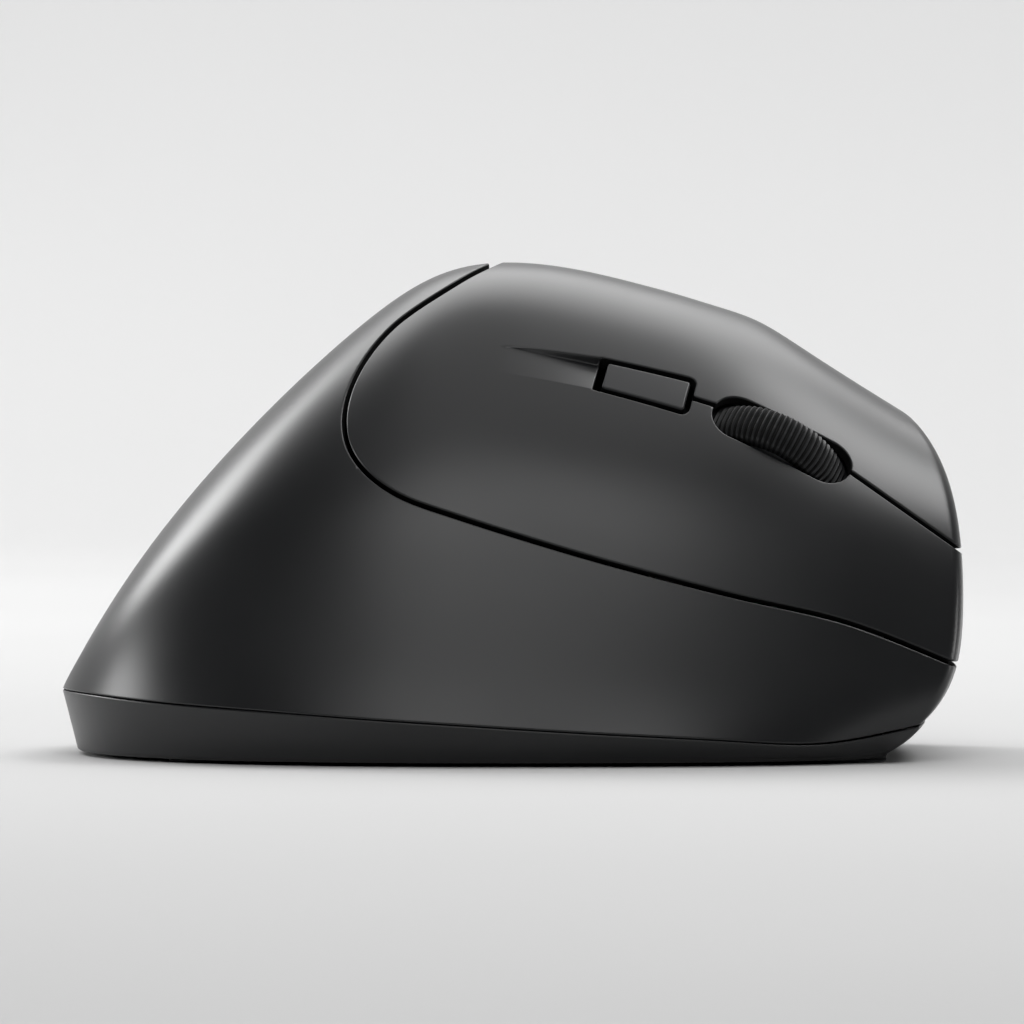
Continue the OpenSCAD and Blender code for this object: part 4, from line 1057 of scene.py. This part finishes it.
def round_at(p, middle, r):
    return r - np.linalg.norm(p[:, :2] - middle, axis=1)


def foot_shape(p, at, grow):
    """A foot grown by a gap. It leaves a land round any screw beside it."""
    land = [round_at(p, screw, HEAD_BORE + SCREW_LAND - grow) for screw in all_screws]
    return np.minimum(box_at(p, at, FOOT_HALF + grow, FOOT_HALF[1] + grow), -np.max(land, axis=0))


def plate_edge(p):
    travel = np.array([KNOB_TRAVEL / 2, 0])
    holes = [box_at(p, door_middle, door_half + DOOR_GAP, DOOR_CORNER),
             box_at(p, cap_middle, cap_half + POCKET_GAP, POCKET_CORNER),
             box_at(p, lens_middle, WINDOW_HALF, WINDOW_CORNER),
             box_at(p, slider_middle + travel, KNOB_HALF + KNOB_GAP + travel, KNOB_CORNER)]
    holes += [round_at(p, at, HEAD_BORE) for at in all_screws]
    holes += [foot_shape(p, at, FOOT_GAP) for pair in foot_middles for at in pair]
    return -np.max(holes, axis=0)


plate_outline = base_row(foot_inset, NOSE_LEAN, 0, 0)[::2, :2]
plate_sheet = flat_sheet(under_z, (-59, -38), (58, 38), 0.5)
plate = cut_shell(plate_sheet, plate_edge, within(plate_outline, FROM_ABOVE),
                  lip=0.25, wall=BASE_WALL)
print("plate faces:", len(plate[1]))

# %% [markdown]
# Inside, the base carries walls round the battery, a sleeve for the receiver, and pads under the screws.
# They are hollow outlines drawn up from the floor, which is the same cut again with a taller wall.

# %% Inside of the base
BAY_LOW, BAY_HIGH, BAY_WALL = np.array([-50.0, -3.5]), np.array([5.9, 11.5]), 1.2
BAY_TOP, SLEEVE_TOP, PAD_TOP = 13.2, 19.7, 4.4
SLEEVE_WALL, PAD_R = 1.4, 3.5
SUNK, INNER_LIP = 0.2, 0.1
WALL_CORNER, BAY_CORNER = 1.0, 0.2
bay_middle, bay_half = (BAY_LOW + BAY_HIGH) / 2, (BAY_HIGH - BAY_LOW) / 2
sunk = FLOOR_Z - SUNK


def bay_edge(p):
    outer = box_at(p, bay_middle, bay_half + BAY_WALL, WALL_CORNER)
    return np.minimum(outer, -box_at(p, bay_middle, bay_half, BAY_CORNER))


def sleeve_edge(p):
    outer = box_at(p, cap_middle, cap_half + SLEEVE_WALL, WALL_CORNER)
    return np.minimum(outer, -box_at(p, cap_middle, cap_half + POCKET_GAP, POCKET_CORNER))


def pad_edge(p):
    pads = [np.minimum(round_at(p, at, PAD_R), -round_at(p, at, HEAD_BORE)) for at in all_screws]
    return np.max(pads, axis=0)


inner_walls = []
for edge, top, low, high, step in ((bay_edge, BAY_TOP, (-53, -6), (9, 14), 0.6),
                                   (sleeve_edge, SLEEVE_TOP, (-32, -26), (-12, -13), 0.4),
                                   (pad_edge, PAD_TOP, (-33, -33), (53, 32), 0.5)):
    inner_walls.append(cut_shell(flat_sheet(sunk, low, high, step), edge, lip=INNER_LIP, wall=top - sunk))
base_tray = new_piece("base_tray", band, plate, *inner_walls)
dress(base_tray, "base_case", "base", "base_black")

# %% [markdown]
# ## Feet, door, receiver and switch
# Small parts show how a thing is used: the feet are slick pads with a soft edge, the battery door has curved
# grip lines, the receiver's cap a notch for a fingernail, and the power switch ribs for a fingertip. Each is
# a flat sheet with its relief, cut to its outline.

# %% Small parts below
GRIP_AT, GRIP_PITCH, GRIP_DEEP = -38.0, 2.2, 0.25
GRIP_CURVE, GRIP_ROWS, GRIP_HALF = 0.03, 2.5, 5
HOOK_HALF, HOOK_APART, HOOK_CORNER = (0.6, 1.5), 5, 0.3
NOTCH_HALF, NOTCH_SHIFT, NOTCH_DEEP = (4.0, 1.2), 1.2, 0.7
RIB_PITCH, RIB_HIGH = 1.2, 0.2
SKIRT_EXTRA = (1, 1.2)
MARGIN = 1


def flat_block(z, middle, half, corner, step, lip, wall, relief=None, stride=2):
    """Closed shell with rounded corners, its lower face at height z."""
    sheet = flat_sheet(z, middle - half - MARGIN, middle + half + MARGIN, step, relief)
    return cut_shell(sheet, lambda p: box_at(p, middle, half, corner), lip=lip, wall=wall, stride=stride)


def waves(along, pitch):
    """Smooth ribs from 0 to 1, one to a pitch."""
    return 0.5 - 0.5 * np.cos(2 * math.pi * along / pitch)


def foot_edge(pair):
    return lambda p: np.max([foot_shape(p, at, 0) for at in pair], axis=0)


for name, pair in zip(("front", "rear"), foot_middles):
    low, high = np.min(pair, axis=0) - FOOT_HALF - MARGIN, np.max(pair, axis=0) + FOOT_HALF + MARGIN
    feet = cut_shell(flat_sheet(0, low, high, 0.5), foot_edge(pair), lip=0.35, wall=0.9)
    dress(new_piece(name + "_pads", feet), name + "_feet", "base", "foot_black")


def grip_lines(x, y):
    """Curved grooves near the rear end of the door."""
    along = x - GRIP_AT - GRIP_CURVE * (y - door_middle[1]) ** 2
    inside = (np.abs(along) < GRIP_ROWS * GRIP_PITCH) & (np.abs(y - door_middle[1]) < GRIP_HALF)
    return np.where(inside, GRIP_DEEP * waves(along + GRIP_PITCH / 2, GRIP_PITCH), 0)


def hook_edge(p):
    x = door_middle[0] + door_half[0] - HOOK_HALF[0]
    hooks = [box_at(p, (x, door_middle[1] + side * HOOK_APART), HOOK_HALF, HOOK_CORNER) for side in (-1, 1)]
    return np.max(hooks, axis=0)


door = flat_block(BASE_LIFT, door_middle, door_half, corner=0.4, step=0.4, lip=0.3, wall=1.6,
                  relief=grip_lines, stride=1)
hook_low, hook_high = door_middle + (door_half[0] - 2, -8), door_middle + (door_half[0] + 1, 8)
hooks = cut_shell(flat_sheet(2.0, hook_low, hook_high, 0.3), hook_edge, lip=0.05, wall=1.5)
dress(new_piece("battery_cover", door, hooks), "battery_door", "battery_door", "base_black")


def nail_notch(x, y):
    """Hollow for a fingernail beside the middle of the cap."""
    q = np.hypot((x - cap_middle[0]) / NOTCH_HALF[0], (y - cap_middle[1] - NOTCH_SHIFT) / NOTCH_HALF[1])
    return NOTCH_DEEP * (1 - smooth_step(q))


cap = flat_block(0.7, cap_middle, cap_half, corner=0.8, step=0.25, lip=0.4, wall=5.6, relief=nail_notch)
dress(new_piece("receiver_head", cap), "receiver_cap", "receiver", "base_black")


def knob_ribs(x, y):
    return RIB_HIGH * waves(x - slider_middle[0], RIB_PITCH)


knob = flat_block(0.8, slider_middle, KNOB_HALF, corner=0.4, step=0.15, lip=0.2, wall=1.8, relief=knob_ribs)
skirt = flat_block(2.5, slider_middle, KNOB_HALF + SKIRT_EXTRA, corner=0.5, step=0.5, lip=0.05, wall=0.8)
dress(new_piece("power_knob", knob, skirt), "power_slider", "power_slider", "inner_grey")

# %% [markdown]
# ## Screws with a cross
# A screw head without a drive is only a disc. The cross is cut through the head, and the shank below it is
# the floor of the cross.

# %% Cross-head screws
HEAD_R, HEAD_HIGH, HEAD_Z, CROSS_HALF = 1.9, 1.2, 1.1, (1.1, 0.28)
SCREW_R, SCREW_LONG = 1.0, 8.9
CROSS_CORNER, CROSS_DEEP, SCREW_MARGIN = 0.1, 0.6, 0.3


def head_edge(p, at):
    arms = np.maximum(box_at(p, at, CROSS_HALF, CROSS_CORNER), box_at(p, at, CROSS_HALF[::-1], CROSS_CORNER))
    return np.minimum(round_at(p, at, HEAD_R), -arms)


def around(at, r, height, step):
    return flat_sheet(height, at - r - SCREW_MARGIN, at + r + SCREW_MARGIN, step)


shank_z = HEAD_Z + HEAD_HIGH * CROSS_DEEP
shank_long = SCREW_LONG + HEAD_HIGH * (1 - CROSS_DEEP)
for node, middles in screw_middles.items():
    shells = []
    for at in middles:
        head_sheet, shank_sheet = around(at, HEAD_R, HEAD_Z, 0.12), around(at, SCREW_R, shank_z, 0.2)
        shells.append(cut_shell(head_sheet, lambda p: head_edge(p, at), lip=0.15, wall=HEAD_HIGH))
        shells.append(cut_shell(shank_sheet, lambda p: round_at(p, at, SCREW_R), lip=0.05, wall=shank_long))
    dress(new_piece(node + "_cross", *shells), node, "base", "screw_steel")

# %% [markdown]
# ## Finishes
# The whole mouse is near-black, and only its finishes differ: a soft coat on the skins, satin plastic on the
# keys and the base, rubber on the wheel. A single flat colour looks dead under any light, so every finish is
# a small net of nodes: a slow noise varies tone and gloss a little, and a fine noise gives the grain.

# %% Building blocks for finishes
def new_finish(name):
    finish = bpy.data.materials.new(name)
    finish.use_nodes = True
    tree = finish.node_tree
    return finish, tree, tree.nodes["Principled BSDF"]


def add(tree, kind, settings=(), **values):
    node = tree.nodes.new(kind)
    for key, value in dict(settings).items():
        setattr(node, key, value)
    for key, value in values.items():
        node.inputs[key.replace("_", " ")].default_value = value
    return node


def noise(tree, scale, detail=2.0, stretch=(1.0, 1.0, 1.0)):
    """Noise in the object's own space; scale counts waves per metre."""
    where = tree.nodes.new("ShaderNodeTexCoord")
    turn = add(tree, "ShaderNodeMapping", Scale=stretch)
    wave = add(tree, "ShaderNodeTexNoise", Scale=scale, Detail=detail)
    tree.links.new(where.outputs["Object"], turn.inputs["Vector"])
    tree.links.new(turn.outputs["Vector"], wave.inputs["Vector"])
    return wave.outputs["Fac"]


def between(tree, factor, low, high):
    """A number that follows the factor from low to high."""
    span = add(tree, "ShaderNodeMapRange", From_Min=0.3, From_Max=0.7, To_Min=low, To_Max=high)
    tree.links.new(factor, span.inputs["Value"])
    return span.outputs["Result"]


def tones(tree, factor, first, second, low=0.3, high=0.7):
    """A colour that follows the factor from the first to the second."""
    ramp = tree.nodes.new("ShaderNodeValToRGB")
    for stop, (at, tone) in zip(ramp.color_ramp.elements, ((low, first), (high, second))):
        stop.position = at
        stop.color = (*tone[:3], 1)
    tree.links.new(factor, ramp.inputs["Fac"])
    return ramp.outputs["Color"]


def grain(tree, shader, factor, depth, strength=1.0):
    """Fine relief of that depth in metres."""
    bump = add(tree, "ShaderNodeBump", Strength=strength, Distance=depth)
    tree.links.new(factor, bump.inputs["Height"])
    tree.links.new(bump.outputs["Normal"], shader.inputs["Normal"])


def paint(tree, shader, factor, first, second, rough, low=0.3, high=0.7):
    """Colour from the first to the second tone and roughness over its range, both by one factor."""
    tree.links.new(tones(tree, factor, first, second, low, high), shader.inputs["Base Color"])
    tree.links.new(between(tree, factor, *rough), shader.inputs["Roughness"])


slot_tone = {m["slot"]: m["base_color"] for m in frame["record"]["materials"]}


def shade_of(tone, factor):
    return [min(1.0, v * factor) for v in tone[:3]]


print("slots:", len(slot_tone))

# %% [markdown]
# Plastics and rubber share one recipe and differ in numbers: how glossy they are, how coarse the grain is
# and how deep. Metals get a long, stretched noise, as brushing leaves it.

# %% Plastics, rubber and metals
def moulded(slot, rough, grain_scale, grain_depth):
    finish, tree, shader = new_finish(slot)
    slow = noise(tree, 45.0, 3.0)
    tone = slot_tone[slot]
    paint(tree, shader, slow, shade_of(tone, 0.88), shade_of(tone, 1.12), (rough - 0.02, rough + 0.02))
    grain(tree, shader, noise(tree, grain_scale), grain_depth)
    return finish


def metal(slot, rough):
    finish, tree, shader = new_finish(slot)
    brushed = noise(tree, 900.0, 4.0, (0.05, 1.0, 1.0))
    tone = slot_tone[slot]
    shader.inputs["Metallic"].default_value = 1.0
    paint(tree, shader, brushed, shade_of(tone, 0.85), shade_of(tone, 1.1), (rough - 0.06, rough + 0.06))
    grain(tree, shader, brushed, 4e-6)
    return finish


finishes = {
    "soft_shell": moulded("soft_shell", 0.33, 4000.0, 2e-6),
    "thumb_grip": moulded("thumb_grip", 0.46, 2200.0, 1.2e-5),
    "key_black": moulded("key_black", 0.36, 3500.0, 4e-6),
    "base_black": moulded("base_black", 0.34, 3000.0, 5e-6),
    "tyre_rubber": moulded("tyre_rubber", 0.45, 5000.0, 4e-6),
    "inner_black": moulded("inner_black", 0.5, 1800.0, 1e-5),
    "inner_grey": moulded("inner_grey", 0.45, 2000.0, 8e-6),
    "plunger_white": moulded("plunger_white", 0.4, 2500.0, 4e-6),
    "foot_black": moulded("foot_black", 0.3, 1500.0, 6e-6),
    "chip": moulded("chip", 0.5, 3500.0, 6e-6),
    "steel": metal("steel", 0.25),
    "screw_steel": metal("screw_steel", 0.32),
}
rubber = finishes["tyre_rubber"].node_tree.nodes["Principled BSDF"]
rubber.inputs["Specular IOR Level"].default_value = 0.3
print("finishes so far:", len(finishes))

# %% [markdown]
# The parts inside show when the battery door is open or a skin is taken off in a scene. The boards carry
# faint copper lines below the green mask, the flat cable its strips, the cell a dark ring at its top end,
# and the lens is clear. The inner side of a skin, the walls of its seams and the bottoms of the tyre's grooves
# get a dull, rough finish whose near-black colour is painted shade, which is why a seam reads as a black line.

# %% Board, cable, cell and lens
def striped(tree, scale, direction, distortion=0.0):
    where = tree.nodes.new("ShaderNodeTexCoord")
    wave = add(tree, "ShaderNodeTexWave", {"bands_direction": direction}, Scale=scale, Distortion=distortion)
    tree.links.new(where.outputs["Object"], wave.inputs["Vector"])
    return wave.outputs["Fac"]


finish, tree, shader = new_finish("board")
lines = striped(tree, 260.0, "DIAGONAL", 6.0)
tone = slot_tone["board"]
paint(tree, shader, lines, shade_of(tone, 0.5), tone, (0.3, 0.4), 0.7, 0.8)
grain(tree, shader, lines, 1e-5, 0.4)
finishes["board"] = finish

finish, tree, shader = new_finish("ribbon")
strips = striped(tree, 310.0, "X")
tone = slot_tone["ribbon"]
paint(tree, shader, strips, tone, shade_of(tone, 0.7), (0.35, 0.45), 0.4, 0.6)
finishes["ribbon"] = finish

CELL_RING_AT, CELL_RING_FADE, CELL_RING_TONE = -0.004, 1e-4, (0.03, 0.03, 0.033)
finish, tree, shader = new_finish("battery_can")
where = tree.nodes.new("ShaderNodeTexCoord")
apart = tree.nodes.new("ShaderNodeSeparateXYZ")
past = add(tree, "ShaderNodeMapRange", From_Min=CELL_RING_AT - CELL_RING_FADE,
           From_Max=CELL_RING_AT + CELL_RING_FADE)
tree.links.new(where.outputs["Object"], apart.inputs["Vector"])
tree.links.new(apart.outputs["X"], past.inputs["Value"])
tree.links.new(tones(tree, past.outputs["Result"], slot_tone["battery_can"], CELL_RING_TONE),
               shader.inputs["Base Color"])
tree.links.new(between(tree, noise(tree, 300.0), 0.25, 0.35), shader.inputs["Roughness"])
finishes["battery_can"] = finish

# Second finish of every new piece: dull and painted near-black, as painted shade on seam walls, inner faces
# and groove bottoms.
finish, tree, shader = new_finish("painted_recess_shade")
recess_shade_noise = noise(tree, 500.0)
paint(tree, shader, recess_shade_noise, (0.004, 0.004, 0.004), (0.006, 0.006, 0.006), (0.75, 0.9))
shader.inputs["Specular IOR Level"].default_value = 0.15
finishes["painted_recess_shade"] = finish

finish, tree, shader = new_finish("lens")
shader.inputs["Transmission Weight"].default_value = 0.9
tree.links.new(tones(tree, noise(tree, 200.0), (0.75, 0.8, 0.82), (0.8, 0.85, 0.87)),
               shader.inputs["Base Color"])
tree.links.new(between(tree, noise(tree, 600.0), 0.03, 0.08), shader.inputs["Roughness"])
finishes["lens"] = finish
print("finishes:", sorted(finishes))

# %% [markdown]
# Each part of the frame names the slot of its finish, and each new piece was given one. A new piece gets two
# finishes: its slot's own on the outside, and the dull one, painted near-black as shade, on the inner faces
# and the walls of its seams.

# %% Put the finishes on
node_slot = {part["node"]: part["material_slot"] for part in frame["record"]["subparts"]}
for name, node in nodes.items():
    node.data.materials.clear()
    node.data.materials.append(finishes[node_slot[name]])
painted = 0
for piece in bpy.data.objects:
    if piece.type == "MESH" and "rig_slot" in piece:
        piece.data.materials.append(finishes[piece["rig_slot"]])
        piece.data.materials.append(finishes["painted_recess_shade"])
        painted += 1
print("pieces painted:", painted, "and CAD nodes:", len(nodes))

# %% [markdown]
# ## Floor and backdrop
# A sheet of pale paper that lies on the table and curves up behind the object is the plainest studio there
# is: no horizon, and a soft shadow where the mouse stands.

# %% Paper sweep
PAPER_FRONT, PAPER_BEND, PAPER_ROUND, PAPER_TOP, PAPER_WIDE = -2.5, 0.9, 0.7, 2.6, 3.0
GLOW_FROM, GLOW_TO, GLOW = 0.5, 1.5, 0.40
bend = np.linspace(0, math.pi / 2, 25)
profile = [(PAPER_FRONT, 0.0)]
profile += [(PAPER_BEND + PAPER_ROUND * math.sin(a), PAPER_ROUND * (1 - math.cos(a))) for a in bend]
profile += [(PAPER_BEND + PAPER_ROUND, PAPER_TOP)]
paper_points = [(x, y, z) for y, z in profile for x in (-PAPER_WIDE, PAPER_WIDE)]
paper_faces = [(2 * k, 2 * k + 1, 2 * k + 3, 2 * k + 2) for k in range(len(profile) - 1)]
paper_mesh = bpy.data.meshes.new("paper_sweep")
paper_mesh.from_pydata(paper_points, [], paper_faces)
paper_mesh.shade_smooth()
paper = bpy.data.objects.new("paper_sweep", paper_mesh)
bpy.context.scene.collection.objects.link(paper)
paper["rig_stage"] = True
finish, tree, shader = new_finish("paper")
tree.links.new(tones(tree, noise(tree, 3.0), (0.58, 0.58, 0.58), (0.61, 0.61, 0.61)),
               shader.inputs["Base Color"])
shader.inputs["Roughness"].default_value = 0.9
shader.inputs["Specular IOR Level"].default_value = 0.2
where = tree.nodes.new("ShaderNodeTexCoord")
apart = tree.nodes.new("ShaderNodeSeparateXYZ")
far_off = add(tree, "ShaderNodeMapRange", {"interpolation_type": "SMOOTHSTEP"},
              From_Min=GLOW_FROM, From_Max=GLOW_TO, To_Max=GLOW)
rays = tree.nodes.new("ShaderNodeLightPath")
seen = add(tree, "ShaderNodeMath", {"operation": "MAXIMUM"})
glow = add(tree, "ShaderNodeMath", {"operation": "MULTIPLY"})
tree.links.new(where.outputs["Object"], apart.inputs["Vector"])
tree.links.new(apart.outputs["Y"], far_off.inputs["Value"])
tree.links.new(rays.outputs["Is Camera Ray"], seen.inputs[0])
tree.links.new(rays.outputs["Is Glossy Ray"], seen.inputs[1])
tree.links.new(seen.outputs["Value"], glow.inputs[0])
tree.links.new(far_off.outputs["Result"], glow.inputs[1])
shader.inputs["Emission Color"].default_value = (1, 1, 1, 1)
tree.links.new(glow.outputs["Value"], shader.inputs["Emission Strength"])
paper_mesh.materials.append(finish)
print("paper strips:", len(paper_faces))

# %% [markdown]
# ## Light
# The photograph is lit the way black products usually are: a broad soft light above and behind draws the
# crown of the finger panel, a tall one behind the tail draws a bright band down the palm, and a weak one in
# front lifts the flank. Between them the surface stays dark, and that is what shows its form.

# %% Lamps and world
LAMP_AWAY = 1.15
LAMP_AIM = Vector((0, 0, 0.03))


def soft_lamp(name, bearing, size, energy):
    """Lamp at (degrees round from straight behind the mouse to the nose side, degrees above the floor)."""
    round_by, above = np.radians(bearing)
    level = math.cos(above)
    way = Vector((math.sin(round_by) * level, math.cos(round_by) * level, math.sin(above)))
    lamp = bpy.data.lights.new(name, "AREA")
    lamp.shape = "RECTANGLE"
    lamp.size, lamp.size_y = size
    lamp.energy = energy
    stand = bpy.data.objects.new(name, lamp)
    stand.location = LAMP_AIM + way * LAMP_AWAY
    stand.rotation_euler = (-way).to_track_quat("-Z", "Y").to_euler()
    bpy.context.scene.collection.objects.link(stand)


soft_lamp("crown_light", (0, 50), (1.2, 0.7), 9.0)
soft_lamp("nose_light", (72, 56), (0.5, 0.3), 4.4)
soft_lamp("nose_low_light", (88, 8), (0.25, 0.3), 1.6)
soft_lamp("tail_light", (-50, 31), (0.45, 0.42), 5.6)
soft_lamp("tail_low_light", (-84, 12), (0.5, 0.25), 4.6)
soft_lamp("flank_light", (180, 46), (0.7, 0.5), 3.2)
soft_lamp("overhead_light", (180, 85), (0.8, 0.8), 1.8)
world = bpy.data.worlds.new("room")
world.use_nodes = True
world.node_tree.nodes["Background"].inputs["Color"].default_value = (0.04, 0.04, 0.04, 1)
bpy.context.scene.world = world
bpy.context.scene.view_settings.view_transform = "Standard"
print("lamps:", len(bpy.data.lights))

# %% [markdown]
# ## Size
# The pieces must stay inside the box of the frame, because another scene will place the mouse by that box.

# %% Measure the scene's box and print it
low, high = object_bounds()
print("scene box in mm:", [round(v / MM, 2) for v in (*low, *high)])
